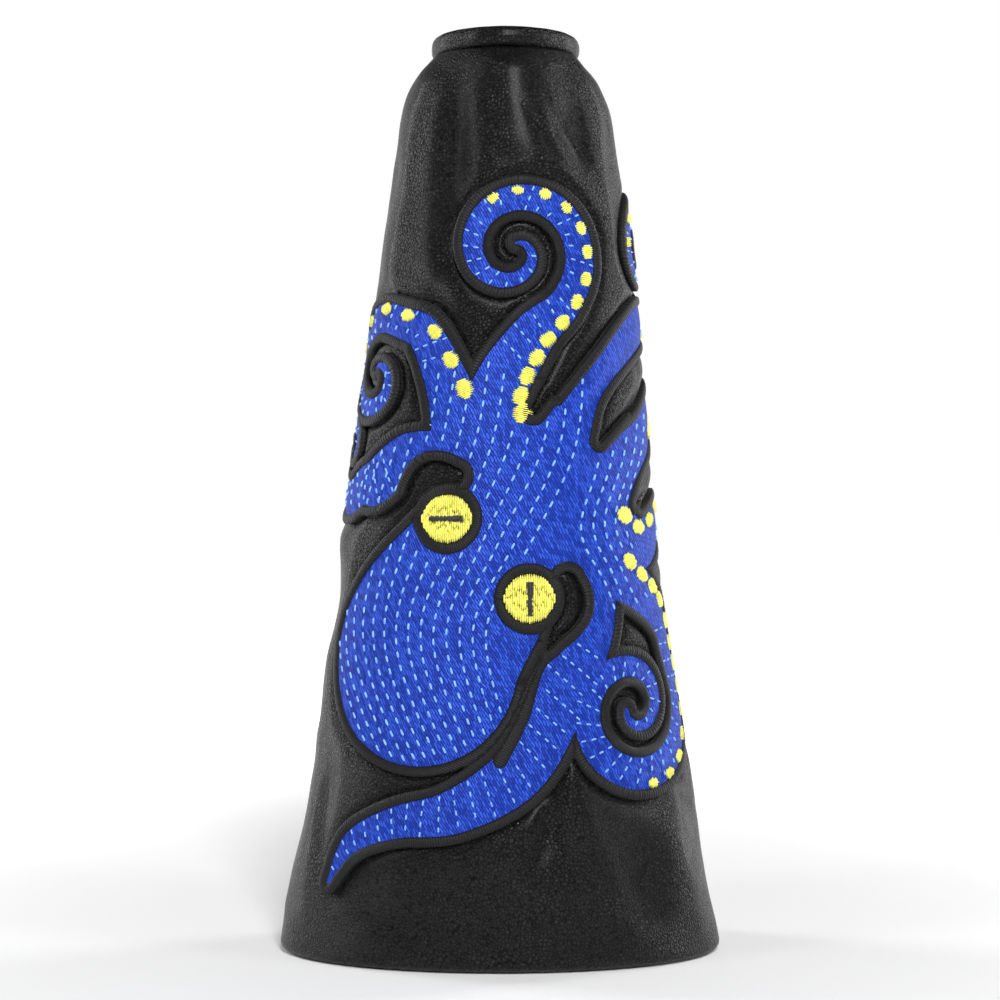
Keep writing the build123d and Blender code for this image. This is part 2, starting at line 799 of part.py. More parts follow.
# The fill is laid in level bands, each small enough to keep close to the round of the sleeve when it is meshed.
with BuildPart() as embroidery_fill:
    add(skin(FILL_OUT, OUTLINE_OUT))
    add(motif_prism(0.0), mode=Mode.INTERSECT)
    add(RING_PEGS, mode=Mode.SUBTRACT)
    for height in range(FILL_BAND, MOTIF_TOP, FILL_BAND):
        split(bisect_by=Plane.XY.offset(height), keep=Keep.BOTH)
keep("embroidery_fill", embroidery_fill.part)

with BuildPart() as eye_rings:
    add(skin(FILL_OUT, 0.0))
    add(RING_PEGS, mode=Mode.INTERSECT)
    add(EYE_PEGS, mode=Mode.SUBTRACT)
keep("eye_rings", eye_rings.part)

with BuildPart() as eyes:
    add(skin(RAISED_OUT, 0.0))
    add(EYE_PEGS, mode=Mode.INTERSECT)
keep("eyes", eyes.part)

with BuildPart() as pupil_slots:
    for sideways, height, slant in EYES:
        with BuildSketch(panel_plane(sideways, height)):
            SlotOverall(PUPIL_LONG, PUPIL_WIDE, rotation=slant)
    extrude(amount=2.5)

with BuildPart() as pupils:
    add(skin(PUPIL_OUT, RAISED_OUT))
    add(pupil_slots.part, mode=Mode.INTERSECT)
keep("pupils", pupils.part)

with BuildPart() as suckers:
    for sideways, height, radius in SUCKERS:
        with BuildSketch(panel_plane(sideways, height, FILL_OUT)):
            Circle(radius)
    extrude(amount=RAISED_OUT - FILL_OUT)
keep("suckers", suckers.part)

with BuildPart() as running_stitches:
    with Locations(*running_stitch_planes()):
        Box(STITCH_LONG, THREAD_WIDE, THREAD_PROUD, align=(Align.CENTER, Align.CENTER, Align.MIN))
keep("running_stitches", running_stitches.part)

# ---------------------------------------------------------------- stitching of the bindings

slit_edges = slit_sketch(SLIT_BINDING_WIDTH - SLIT_STITCH_INSET).edges().sort_by(Axis.Z)[1:]

with BuildPart() as slit_stitching:
    with Locations(*back_rows(slit_edges, SLIT_BINDING_SKIN)):
        Box(STITCH_LONG, STITCH_WIDE, STITCH_PROUD, align=(Align.CENTER, Align.CENTER, Align.MIN))
keep("slit_stitching", slit_stitching.part)

flap_edges = flap_sketch(FLAP_STITCH_INSET).edges().sort_by(Axis.X)[:-1]

with BuildPart() as flap_stitching:
    with Locations(*back_rows(flap_edges, FLAP_OUT + FLAP_BINDING_SKIN)):
        Box(STITCH_LONG, STITCH_WIDE, STITCH_PROUD, align=(Align.CENTER, Align.CENTER, Align.MIN))
keep("flap_stitching", flap_stitching.part)

if __name__ == "__main__":
    os.makedirs("parts", exist_ok=True)
    for name, part in PIECES.items():
        export_step(part, f"parts/{name}.step")
    print("pieces", len(PIECES))
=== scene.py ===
import math

import bmesh
import bpy
import numpy as np
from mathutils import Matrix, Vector


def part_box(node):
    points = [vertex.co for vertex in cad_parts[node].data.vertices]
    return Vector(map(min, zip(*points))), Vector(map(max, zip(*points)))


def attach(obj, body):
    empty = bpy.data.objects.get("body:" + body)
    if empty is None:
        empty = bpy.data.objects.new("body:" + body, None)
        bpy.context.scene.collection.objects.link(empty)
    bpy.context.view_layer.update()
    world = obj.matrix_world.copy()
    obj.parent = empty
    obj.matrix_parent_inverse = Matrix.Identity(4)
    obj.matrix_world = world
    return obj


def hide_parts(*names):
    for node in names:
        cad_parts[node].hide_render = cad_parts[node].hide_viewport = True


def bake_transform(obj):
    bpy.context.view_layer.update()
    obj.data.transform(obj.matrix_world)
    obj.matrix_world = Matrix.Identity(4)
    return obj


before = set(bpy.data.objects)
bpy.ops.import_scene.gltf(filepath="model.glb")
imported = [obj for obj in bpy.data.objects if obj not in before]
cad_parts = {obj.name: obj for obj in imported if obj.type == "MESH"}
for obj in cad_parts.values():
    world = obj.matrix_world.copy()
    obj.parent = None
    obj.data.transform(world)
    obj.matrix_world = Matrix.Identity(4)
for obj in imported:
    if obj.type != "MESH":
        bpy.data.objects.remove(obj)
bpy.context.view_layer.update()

MM = 0.001
RNG = np.random.default_rng(7)

# ---------------------------------------------------------------- the sleeve's form, in millimetres
# Height, half width, half depth, sideways drift of the soft body.
SECTIONS = np.array([
    (0.0, 41.4, 24.0, 0.0),
    (22.0, 36.9, 23.3, 0.0),
    (44.0, 33.3, 22.5, 0.0),
    (67.0, 30.1, 21.6, -0.4),
    (89.0, 27.7, 20.6, 0.1),
    (112.0, 25.2, 19.4, 0.8),
    (134.0, 22.7, 17.9, 1.4),
    (150.0, 20.3, 16.5, 1.1),
    (158.0, 18.5, 15.5, 1.0),
    (163.2, 16.0, 14.1, 1.0),
    (166.2, 13.5, 12.6, 1.0),
])
AXIS_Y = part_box("front_shell")[0].y / MM + SECTIONS[0, 2]
SLEEVE_TOP = SECTIONS[-1, 0]
LEATHER, FOAM, PLUSH = 1.2, 2.0, 1.8
HEM_ROLL = 2.0
SEAM_DEG = 180.0 - math.degrees(math.asin(0.66))
SLIT_TOP = 94.0
TOE_X = SECTIONS[-1, 3]
TABLE_TOP = 166  # the highest level that the panel's tables are read at


def smooth_interp(x, xs, ys):
    """Cubic interpolation through a table, with no overshoot at its ends."""
    slopes = np.gradient(ys, xs)
    i = np.clip(np.searchsorted(xs, x) - 1, 0, len(xs) - 2)
    h = xs[i + 1] - xs[i]
    t = np.clip((x - xs[i]) / h, 0.0, 1.0)
    return (
        (2 * t**3 - 3 * t**2 + 1) * ys[i]
        + (t**3 - 2 * t**2 + t) * h * slopes[i]
        + (3 * t**2 - 2 * t**3) * ys[i + 1]
        + (t**3 - t**2) * h * slopes[i + 1]
    )


def section(z):
    """Half width, half depth and drift at heights."""
    return [smooth_interp(z, SECTIONS[:, 0], SECTIONS[:, k]) for k in (1, 2, 3)]


def form(turn, z, growth):
    """Points of the form, at a turn in degrees from the front middle line, grown outward by a margin."""
    a, b, drift = section(z)
    turn = np.radians(turn)
    x = drift + (a + growth) * np.sin(turn)
    y = AXIS_Y - (b + growth) * np.cos(turn)
    return np.stack([x, y, z + 0.0 * x], axis=-1)


# The unrolled panel: how far sideways each turn lies at each height.
TURNS = np.arange(-180.0, 181.0, 1.0)
LEVEL_STEP = 1.0
LEVELS = np.arange(0.0, 168.0, LEVEL_STEP)
_mid = np.radians((TURNS[1:] + TURNS[:-1]) / 2)
_a, _b, _ = section(LEVELS)
_stride = np.hypot(_a[:, None] * np.cos(_mid), _b[:, None] * np.sin(_mid)) * math.radians(1.0)
SIDEWAYS = np.concatenate([np.zeros((len(LEVELS), 1)), np.cumsum(_stride, axis=1)], axis=1)
SIDEWAYS -= SIDEWAYS[:, 180:181]
SPREAD_REACH, SPREAD_STEP = 80.0, 0.5
SPREAD = np.arange(-SPREAD_REACH, SPREAD_REACH + SPREAD_STEP, SPREAD_STEP)
TURN_AT = np.array([np.interp(SPREAD, row, TURNS) for row in SIDEWAYS])


def bilinear(table, u, v):
    """Table values at fractional column u and row v."""
    rows, columns = table.shape
    u = np.clip(u, 0, columns - 1.001)
    v = np.clip(v, 0, rows - 1.001)
    i, j = u.astype(int), v.astype(int)
    fu, fv = u - i, v - j
    low = table[j, i] * (1 - fu) + table[j, i + 1] * fu
    high = table[j + 1, i] * (1 - fu) + table[j + 1, i + 1] * fu
    return low * (1 - fv) + high * fv


def sideways_of(turn, z):
    """How far sideways along the surface a turn lies, from the front middle line."""
    return bilinear(SIDEWAYS, np.asarray(turn) + 180.0, np.asarray(z) / LEVEL_STEP)


def round_sideways(turn, z):
    """The same for turns beyond half a round."""
    return sideways_of((turn + 180.0) % 360.0 - 180.0, z)


def turn_of(sideways, z):
    """The turn at which a panel point lies."""
    return bilinear(TURN_AT, (np.asarray(sideways) + SPREAD_REACH) / SPREAD_STEP, np.asarray(z) / LEVEL_STEP)


# ---------------------------------------------------------------- the motif, on the unrolled front panel
EYE_RADIUS, EYE_RING = 4.6, 1.5
SATIN = 1.45


def coil(centre, radius, start_deg, turn_deg, half_width, count):
    """The coiled end of a limb, as (sideways, height, half width) points."""
    points = []
    for step in range(count):
        along = step / (count - 1)
        angle = math.radians(start_deg + turn_deg * along)
        reach = radius * (0.12 + 0.88 * (1 - along) ** 1.15)
        points.append((
            centre[0] + reach * math.cos(angle),
            centre[1] + reach * math.sin(angle),
            half_width * (1 - 0.80 * along),
        ))
    return points


MANTLE = [
    (-15.0, 54.5, 18.5), (-12.0, 60.0, 17.5), (-4.0, 70.0, 15.5), (4.0, 80.0, 15.0), (8.0, 87.0, 14.0),
]
LIMBS = {
    "crown": [(0.0, 90.0, 8.0), (-0.6, 102.5, 5.8), (5.0, 113.0, 4.4)]
    + coil((1.2, 128.2), 13.4, -46, 480, 3.4, 16),
    "left_high": [(-6.0, 91.0, 6.5), (-9.5, 103.0, 4.6), (-14.5, 113.0, 3.7)]
    + coil((-26.4, 106.5), 11.6, 52, 410, 3.3, 13),
    "left_low": [(-8.0, 90.0, 6.0), (-17.0, 91.5, 4.6), (-24.5, 87.0, 4.6)]
    + coil((-35.5, 93.5), 10.5, -42, -400, 3.8, 13),
    "right_high": [(12.0, 90.0, 8.0), (19.5, 103.0, 5.8), (29.0, 114.5, 4.6)]
    + coil((33.5, 129.5), 12.8, -72, 450, 3.5, 16),
    "right_mid": [(20.0, 86.0, 8.0), (29.0, 94.0, 4.6), (38.0, 101.0, 4.2)]
    + coil((46.5, 109.5), 9.8, -118, 400, 3.3, 13),
    "right_low": [(16.0, 79.0, 9.0), (28.0, 75.5, 5.2), (38.0, 80.0, 4.2)]
    + coil((47.0, 86.5), 8.6, -140, 400, 3.2, 13),
    "right_foot": [(14.0, 75.0, 8.0), (25.0, 69.5, 4.8), (34.5, 63.0, 4.2)]
    + coil((25.4, 46.4), 15.2, 34, -560, 3.9, 19),
    "front_foot": [
        (15.0, 70.0, 8.0), (16.0, 60.0, 5.6), (10.0, 47.0, 5.4), (3.0, 35.5, 5.2),
        (-8.0, 28.6, 4.2), (-19.0, 26.2, 3.1), (-28.0, 22.0, 2.2), (-33.0, 14.5, 0.7),
    ],
}
GAPS = [
    [(-8.0, 88.0, 3.0), (-13.0, 87.5, 4.4), (-18.0, 82.0, 2.4), (-23.5, 78.0, 0.9), (-30.0, 74.5, 0.9),
     (-38.0, 70.0, 0.9)],
    [(12.5, 69.0, 3.4), (13.2, 64.5, 4.0), (9.5, 58.5, 2.2), (6.8, 54.0, 0.9), (3.8, 45.0, 0.9),
     (0.0, 37.5, 0.9)],
    [(5.6, 99.5, 2.2), (9.0, 105.0, 2.7), (14.5, 112.0, 2.2), (18.5, 118.0, 0.9)],
    [(18.5, 94.5, 2.0), (22.5, 100.5, 4.0), (30.0, 106.5, 4.4), (40.0, 113.0, 2.0)],
    [(27.5, 83.0, 1.6), (31.0, 86.5, 2.8), (37.0, 91.5, 2.6), (42.0, 97.0, 0.9)],
]
EYES = [(-9.3, 80.4, 0.0), (5.6, 66.2, 90.0)]
SUCKER_ROWS = {
    "crown": (-1, 0.10, 0.68, 14),
    "left_high": (-1, 0.16, 0.62, 7),
    "right_high": (-1, 0.40, 0.84, 10),
    "right_mid": (-1, 0.30, 0.76, 7),
    "right_low": (1, 0.12, 0.60, 6),
    "right_foot": (1, 0.10, 0.52, 13),
}
SUCKER_LARGE, SUCKER_SMALL, SUCKER_MARGIN = 1.75, 1.0, 0.3


def smooth_path(knots, step=0.4):
    """A Catmull-Rom curve through knots, resampled at an even step. Each knot has any number of values."""
    knots = np.array(knots, float)
    ends = np.vstack([knots[:1], knots, knots[-1:]])
    pieces = []
    t = np.linspace(0, 1, 24, endpoint=False)[:, None]
    for k in range(len(knots) - 1):
        p0, p1, p2, p3 = ends[k], ends[k + 1], ends[k + 2], ends[k + 3]
        pieces.append(0.5 * (2 * p1 + (p2 - p0) * t + (2 * p0 - 5 * p1 + 4 * p2 - p3) * t**2
                             + (3 * p1 - p0 - 3 * p2 + p3) * t**3))
    pieces.append(knots[-1:])
    path = np.vstack(pieces)
    walked = np.concatenate([[0], np.cumsum(np.hypot(*np.diff(path[:, :2], axis=0).T))])
    count = max(2, int(walked[-1] / step))
    at = np.linspace(0, walked[-1], count)
    return np.stack([np.interp(at, walked, path[:, k]) for k in range(path.shape[1])], axis=1), at


def headings(path):
    """The unit direction of a path at each of its points."""
    way = np.gradient(path[:, :2], axis=0)
    return way / np.linalg.norm(way, axis=1)[:, None]


# Distance fields over the panel: how deep inside the strokes a point lies, and how far along the stroke.
CELL = 0.25
S_LOW, S_HIGH, Z_LOW, Z_HIGH = -68.0, 68.0, 0.0, 160.0
GRID_S = np.arange(S_LOW, S_HIGH + CELL, CELL)
GRID_Z = np.arange(Z_LOW, Z_HIGH + CELL, CELL)


def stroke_field(strokes, halo=9.0):
    """Depth inside the strokes on the grid, negative outside, and the length walked along the nearest one."""
    depth = np.full((len(GRID_Z), len(GRID_S)), -halo)
    along = np.zeros_like(depth)
    for knots in strokes:
        path, walked = smooth_path(knots)
        heading = np.gradient(path[:, :2], axis=0)
        heading /= np.linalg.norm(heading, axis=1)[:, None] + 1e-9
        for (s, z, radius), at, way in zip(path, walked, heading):
            reach = radius + halo
            i0, i1 = np.searchsorted(GRID_S, [s - reach, s + reach])
            j0, j1 = np.searchsorted(GRID_Z, [z - reach, z + reach])
            ds = GRID_S[None, i0:i1] - s
            dz = GRID_Z[j0:j1, None] - z
            inside = radius - np.hypot(ds, dz)
            window = depth[j0:j1, i0:i1]
            better = inside > window
            window[better] = inside[better]
            along[j0:j1, i0:i1][better] = (at + ds * way[0] + dz * way[1])[better]
    return depth, along


LIMB_DEPTH, LIMB_ALONG = stroke_field([MANTLE, *LIMBS.values()])
GAP_DEPTH, GAP_ALONG = stroke_field(GAPS)
MESH_S, MESH_Z = np.meshgrid(GRID_S, GRID_Z)
EYE_OUT = np.min([np.hypot(MESH_S - s, MESH_Z - z) for s, z, _ in EYES], axis=0)
EYE_ANGLE = np.select(
    [np.hypot(MESH_S - s, MESH_Z - z) < 9.0 for s, z, _ in EYES],
    [np.arctan2(MESH_Z - z, MESH_S - s) * (EYE_RADIUS + 0.8) for s, z, _ in EYES],
    0.0,
)
PANEL_EDGE = np.abs(sideways_of(SEAM_DEG, MESH_Z)) - 2.5 - np.abs(MESH_S)
MOTIF = np.minimum(np.minimum(LIMB_DEPTH, -GAP_DEPTH), EYE_OUT - EYE_RADIUS - EYE_RING)
LIMB_EDGE = np.minimum(LIMB_DEPTH, -GAP_DEPTH)
RING_BAND = np.minimum(EYE_OUT - EYE_RADIUS + 0.25, EYE_RADIUS + EYE_RING + 0.35 - EYE_OUT)
EDGE_BAND = np.minimum(np.minimum(LIMB_EDGE + SATIN, 0.35 - LIMB_EDGE), EYE_OUT - EYE_RADIUS)
SATIN_FIELD = np.minimum(np.maximum(EDGE_BAND, RING_BAND), PANEL_EDGE + 1.0)
FILL_FIELD = np.minimum(MOTIF, PANEL_EDGE)
OUTLINE_ALONG = np.where(-GAP_DEPTH < LIMB_DEPTH, GAP_ALONG, LIMB_ALONG)
SATIN_ALONG = np.where(RING_BAND > EDGE_BAND, EYE_ANGLE, OUTLINE_ALONG)


def on_panel(table, s, z):
    return bilinear(table, (np.asarray(s) - S_LOW) / CELL, (np.asarray(z) - Z_LOW) / CELL)


def bead(offset, half):
    """The rounded cross profile of a satin line, 1 on its crest and 0 at its edges."""
    return np.sqrt(np.clip(1.0 - (offset / half) ** 2, 0.0, 1.0))


def noise_table(seed, size=64):
    return np.random.default_rng(seed).normal(size=(size, size))


NOISE = [noise_table(seed) for seed in range(11, 17)]


def soft_noise(s, z, scale, which=0):
    """Smooth repeatable noise over the panel, about -1 to 1."""
    table = NOISE[which]
    u, v = np.asarray(s) / scale + 100.0, np.asarray(z) / scale + 100.0
    i, j = np.floor(u).astype(int), np.floor(v).astype(int)
    fu, fv = u - i, v - j
    fu, fv = fu * fu * (3 - 2 * fu), fv * fv * (3 - 2 * fv)
    n = len(table)
    low = table[j % n, i % n] * (1 - fu) + table[j % n, (i + 1) % n] * fu
    high = table[(j + 1) % n, i % n] * (1 - fu) + table[(j + 1) % n, (i + 1) % n] * fu
    return (low * (1 - fv) + high * fv) * 0.6


# Folds of the soft leather: a path over the panel, how deep (negative is a ridge) and how wide.
FOLDS = [
    ([(-8.5, 164.0), (-9.5, 152.0), (-10.5, 138.0), (-12.0, 122.0)], 1.0, 4.0),
    ([(11.0, 163.0), (13.5, 152.0), (16.5, 140.0)], 0.9, 3.2),
    ([(1.5, 164.0), (3.0, 154.0), (4.0, 146.0)], -0.5, 5.0),
    ([(-19.0, 158.0), (-21.0, 140.0), (-23.0, 120.0)], -0.4, 3.6),
    ([(6.0, 158.0), (12.0, 150.0), (17.0, 144.0)], 0.25, 1.2),
    ([(3.0, 156.0), (8.0, 147.0), (12.0, 143.0)], 0.18, 1.0),
    ([(18.0, 150.0), (19.5, 140.0), (20.5, 130.0)], -0.3, 2.2),
    ([(9.5, 36.5), (9.0, 28.0), (6.0, 18.0)], 0.7, 2.2),
    ([(12.5, 34.0), (15.0, 26.0), (21.0, 17.0)], -0.5, 3.0),
    ([(30.0, 28.0), (35.0, 17.0), (40.0, 6.0)], -0.7, 3.6),
    ([(24.0, 26.0), (28.0, 14.0), (30.0, 5.0)], 0.5, 3.0),
    ([(-34.0, 40.0), (-36.0, 26.0), (-38.0, 12.0)], 0.5, 3.0),
    ([(-29.0, 12.0), (-18.0, 8.0), (-6.0, 6.5)], 0.35, 3.0),
    ([(-8.0, 21.0), (4.0, 17.0), (16.0, 12.0)], -0.45, 5.0),
    ([(-22.0, 128.0), (-14.0, 121.0), (-6.0, 113.0)], 0.3, 2.0),
    ([(34.0, 40.0), (40.0, 28.0), (44.0, 18.0)], 0.5, 3.0),
]


def fold_field():
    """The folds summed over the panel grid, each fading towards its ends."""
    total = np.zeros_like(MESH_S)
    for knots, depth, width in FOLDS:
        path, walked = smooth_path(knots, step=1.0)
        fade = np.sin(np.pi * np.clip(walked / walked[-1], 0.0, 1.0) * 0.86 + 0.25)
        nearest = np.zeros_like(MESH_S)
        reach = 3 * width
        for (s, z), strength in zip(path, fade):
            i0, i1 = np.searchsorted(GRID_S, [s - reach, s + reach])
            j0, j1 = np.searchsorted(GRID_Z, [z - reach, z + reach])
            far = (GRID_S[None, i0:i1] - s) ** 2 + (GRID_Z[j0:j1, None] - z) ** 2
            window = nearest[j0:j1, i0:i1]
            np.maximum(window, strength * np.exp(-far / width**2), out=window)
        total -= depth * nearest
    return total


FOLD_FIELD = fold_field()


def front_growth(s, z):
    """How far the front leather stands out: puffed between the stitch lines, drawn down beside them."""
    motif = np.maximum(on_panel(LIMB_EDGE, s, z), on_panel(RING_BAND, s, z) - EYE_RING)
    motif = np.where(np.asarray(z) > Z_HIGH - 2, -9.0, motif)
    bare = np.clip(-motif - SATIN, 0.0, 8.0)
    drawn = -0.75 * np.exp(-bare / 0.9) + 0.55 * (1 - np.exp(-bare / 2.2)) - 0.35 * np.clip(bare / 8.0, 0, 1)
    under = -0.45
    base = np.where(motif > -SATIN + 0.1, under, drawn)
    below_top = np.clip((TABLE_TOP - np.asarray(z)) / 4, 0, 1)
    folds = 1.35 * on_panel(FOLD_FIELD, s, np.minimum(z, Z_HIGH - 1)) * below_top
    soft = 0.42 * soft_noise(s, z, 13.0, 0) + 0.20 * soft_noise(s, z, 5.0, 1)
    return base + folds + soft * np.clip(bare / 3.0, 0, 1)


def seam_dip(turn):
    """Panels curl in towards the side seams."""
    off = np.minimum(np.abs(np.abs(turn) - SEAM_DEG), 30.0) * math.radians(1.0) * 30.0
    return -1.0 * np.exp(-((off / 1.1) ** 2))


def wall_point(turn, v, growth):
    """A wall point from v down the wall: above the roll v is the height, below it the leather turns under."""
    v = np.asarray(v, float)
    angle = np.clip((HEM_ROLL - v) / HEM_ROLL, 0.0, math.pi / 2)
    flat = np.clip(HEM_ROLL - v - HEM_ROLL * math.pi / 2, 0.0, None)
    z = np.where(v >= HEM_ROLL, v, HEM_ROLL - HEM_ROLL * np.sin(angle))
    inward = np.where(v >= HEM_ROLL, 0.0, HEM_ROLL * (1 - np.cos(angle))) + flat
    lift = -growth * np.sin(angle) * (v < HEM_ROLL)
    out = growth * np.where(v >= HEM_ROLL, 1.0, np.cos(angle))
    points = form(turn, np.maximum(z, 0.0), out - inward)
    points[..., 2] = np.maximum(z, 0.0) + lift
    return points


# ---------------------------------------------------------------- mesh tools


def sheet_mesh(name, u, v, field, top, bottom, uv=None, extra=None):
    """A closed sheet, with two faces, over the part of a (u, v) grid where the field is positive."""
    grid_u, grid_v = np.meshgrid(u, v, indexing="ij")
    value = np.asarray(field(grid_u, grid_v), float) + 0.0 * grid_u
    inside = value >= 0
    rows, columns = inside.shape
    corner = np.arange(rows * columns).reshape(rows, columns)
    full = inside[:-1, :-1] & inside[1:, :-1] & inside[1:, 1:] & inside[:-1, 1:]
    some = inside[:-1, :-1] | inside[1:, :-1] | inside[1:, 1:] | inside[:-1, 1:]
    i, j = np.nonzero(full)
    square = [corner[i, j], corner[i + 1, j], corner[i + 1, j + 1], corner[i, j + 1]]
    faces = np.stack(square, axis=1).tolist()
    points = {}
    cut_u, cut_v = [], []

    def crossing(p, q):
        key = (min(p, q), max(p, q))
        if key not in points:
            (pi, pj), (qi, qj) = divmod(key[0], columns), divmod(key[1], columns)
            f0, f1 = value[pi, pj], value[qi, qj]
            t = min(max(f0 / (f0 - f1), 0.06), 0.94)
            points[key] = rows * columns + len(cut_u)
            cut_u.append(u[pi] + (u[qi] - u[pi]) * t)
            cut_v.append(v[pj] + (v[qj] - v[pj]) * t)
        return points[key]

    for i, j in zip(*np.nonzero(some & ~full)):
        loop = [corner[i, j], corner[i + 1, j], corner[i + 1, j + 1], corner[i, j + 1]]
        flags = [inside[i, j], inside[i + 1, j], inside[i + 1, j + 1], inside[i, j + 1]]
        polygon = []
        for k in range(4):
            if flags[k]:
                polygon.append(int(loop[k]))
            if flags[k] != flags[(k + 1) % 4]:
                polygon.append(crossing(int(loop[k]), int(loop[(k + 1) % 4])))
        if len(polygon) > 2:
            faces.append(polygon)
    all_u = np.concatenate([grid_u.ravel(), cut_u])
    all_v = np.concatenate([grid_v.ravel(), cut_v])
    used = np.unique(np.concatenate([np.array(face) for face in faces]))
    renumber = np.full(len(all_u), -1)
    renumber[used] = np.arange(len(used))
    faces = [[int(renumber[p]) for p in face] for face in faces]
    all_u, all_v = all_u[used], all_v[used]
    count = len(used)
    edges = {}
    for face in faces:
        for a, b in zip(face, face[1:] + face[:1]):
            edges[(a, b)] = True
    rims = [(a, b) for a, b in edges if (b, a) not in edges]
    verts = np.concatenate([top(all_u, all_v), bottom(all_u, all_v)]) * MM
    whole = faces + [[p + count for p in reversed(face)] for face in faces]
    whole += [[b, a, a + count, b + count] for a, b in rims]
    mesh = bpy.data.meshes.new(name)
    mesh.from_pydata(verts.tolist(), [], whole)
    mesh.update()
    finish_mesh(mesh, all_u, all_v, uv, extra)
    return add_object(name, mesh)


def finish_mesh(mesh, all_u, all_v, uv, extra):
    """Smooth shading, a UV map in tens of millimetres and extra values per point."""
    mesh.shade_smooth()
    index = np.empty(len(mesh.loops), int)
    mesh.loops.foreach_get("vertex_index", index)
    index = index % len(all_u)
    map_u, map_v = uv(all_u, all_v) if uv else (all_u, all_v)
    layer = mesh.uv_layers.new(name="Panel")
    layer.data.foreach_set("uv", np.stack([map_u[index] / 10, map_v[index] / 10], axis=1).ravel())
    for key, function in (extra or {}).items():
        values = np.asarray(function(all_u, all_v), np.float32)
        attribute = mesh.attributes.new(key, "FLOAT", "POINT")
        attribute.data.foreach_set("value", np.concatenate([values, values]))


def add_object(name, mesh):
    piece = bpy.data.objects.new(name, mesh)
    bpy.context.scene.collection.objects.link(piece)
    return piece


def mesh_piece(name, verts, faces, smooth=True):
    mesh = bpy.data.meshes.new(name)
    mesh.from_pydata((np.asarray(verts) * MM).tolist(), [], [list(map(int, face)) for face in faces])
    mesh.update()
    if smooth:
        mesh.shade_smooth()
    return add_object(name, mesh)


def sweep(name, rings, closed_path=False):
    """A closed tube through rings of points, capped at its ends unless the path is closed."""
    rings = np.asarray(rings)
    count, around, _ = rings.shape
    verts = rings.reshape(-1, 3)
    faces = []
    last = count if closed_path else count - 1
    for k in range(last):
        for m in range(around):
            a = k * around + m
            b = k * around + (m + 1) % around
            c = ((k + 1) % count) * around + (m + 1) % around
            d = ((k + 1) % count) * around + m
            faces.append((a, b, c, d))
    if not closed_path:
        faces.append(tuple(reversed(range(around))))
        faces.append(tuple(range((count - 1) * around, count * around)))
    piece = mesh_piece(name, verts, faces)
    outward(piece)
    return piece


def outward(piece):
    """Turns a closed mesh's faces outward."""
    work = bmesh.new()
    work.from_mesh(piece.data)
    bmesh.ops.recalc_face_normals(work, faces=work.faces)
    work.to_mesh(piece.data)
    work.free()
    piece.data.shade_smooth()


def frame_on(turn, z, growth=0.0):
    """Point, level direction, upward direction and outward normal of the form, as arrays."""
    turn, z = np.atleast_1d(np.asarray(turn, float)), np.atleast_1d(np.asarray(z, float))
    place = form(turn, z, growth)
    level = form(turn + 0.5, z, growth) - form(turn - 0.5, z, growth)
    upward = form(turn, z + 0.5, growth) - form(turn, z - 0.5, growth)
    level /= np.linalg.norm(level, axis=-1)[..., None]
    normal = np.cross(level, upward)
    normal /= np.linalg.norm(normal, axis=-1)[..., None]
    return place, level, np.cross(normal, level), normal


def threads(name, rows, rise=0.3, sink=0.25, sides=5, length_steps=4):
    """Raised stitches, each a rounded strand between two ends. A row is (start, end, normal, width)."""
    verts, faces = [], []
    for start, end, normal, width in rows:
        start, end, normal = np.array(start), np.array(end), np.array(normal)
        along = end - start
        length = np.linalg.norm(along)
        along = along / length
        across = np.cross(normal, along)
        base = len(verts)
        for step in range(length_steps + 1):
            t = step / length_steps
            swell = math.sqrt(max(0.0, 1 - (2 * t - 1) ** 4)) * 0.86 + 0.14
            centre = start + along * length * t
            for side in range(sides):
                angle = math.pi * side / (sides - 1)
                verts.append(centre + across * math.cos(angle) * width / 2 * swell
                             + normal * (math.sin(angle) * (rise + sink) * swell - sink))
        for step in range(length_steps):
            for side in range(sides):
                a = base + step * sides + side
                b = base + step * sides + (side + 1) % sides
                faces.append((a, b, b + sides, a + sides))
        faces.append(tuple(base + k for k in reversed(range(sides))))
        faces.append(tuple(base + length_steps * sides + k for k in range(sides)))
    piece = mesh_piece(name, verts, faces)
    outward(piece)
    return piece


# ---------------------------------------------------------------- procedural materials


def rgb(red, green, blue):
    """A display colour of 0 to 255 as the linear colour that a shader takes."""
    shares = [c / 255 for c in (red, green, blue)]
    return (*(((c + 0.055) / 1.055) ** 2.4 if c > 10 / 255 else c / 12.92 for c in shares), 1.0)


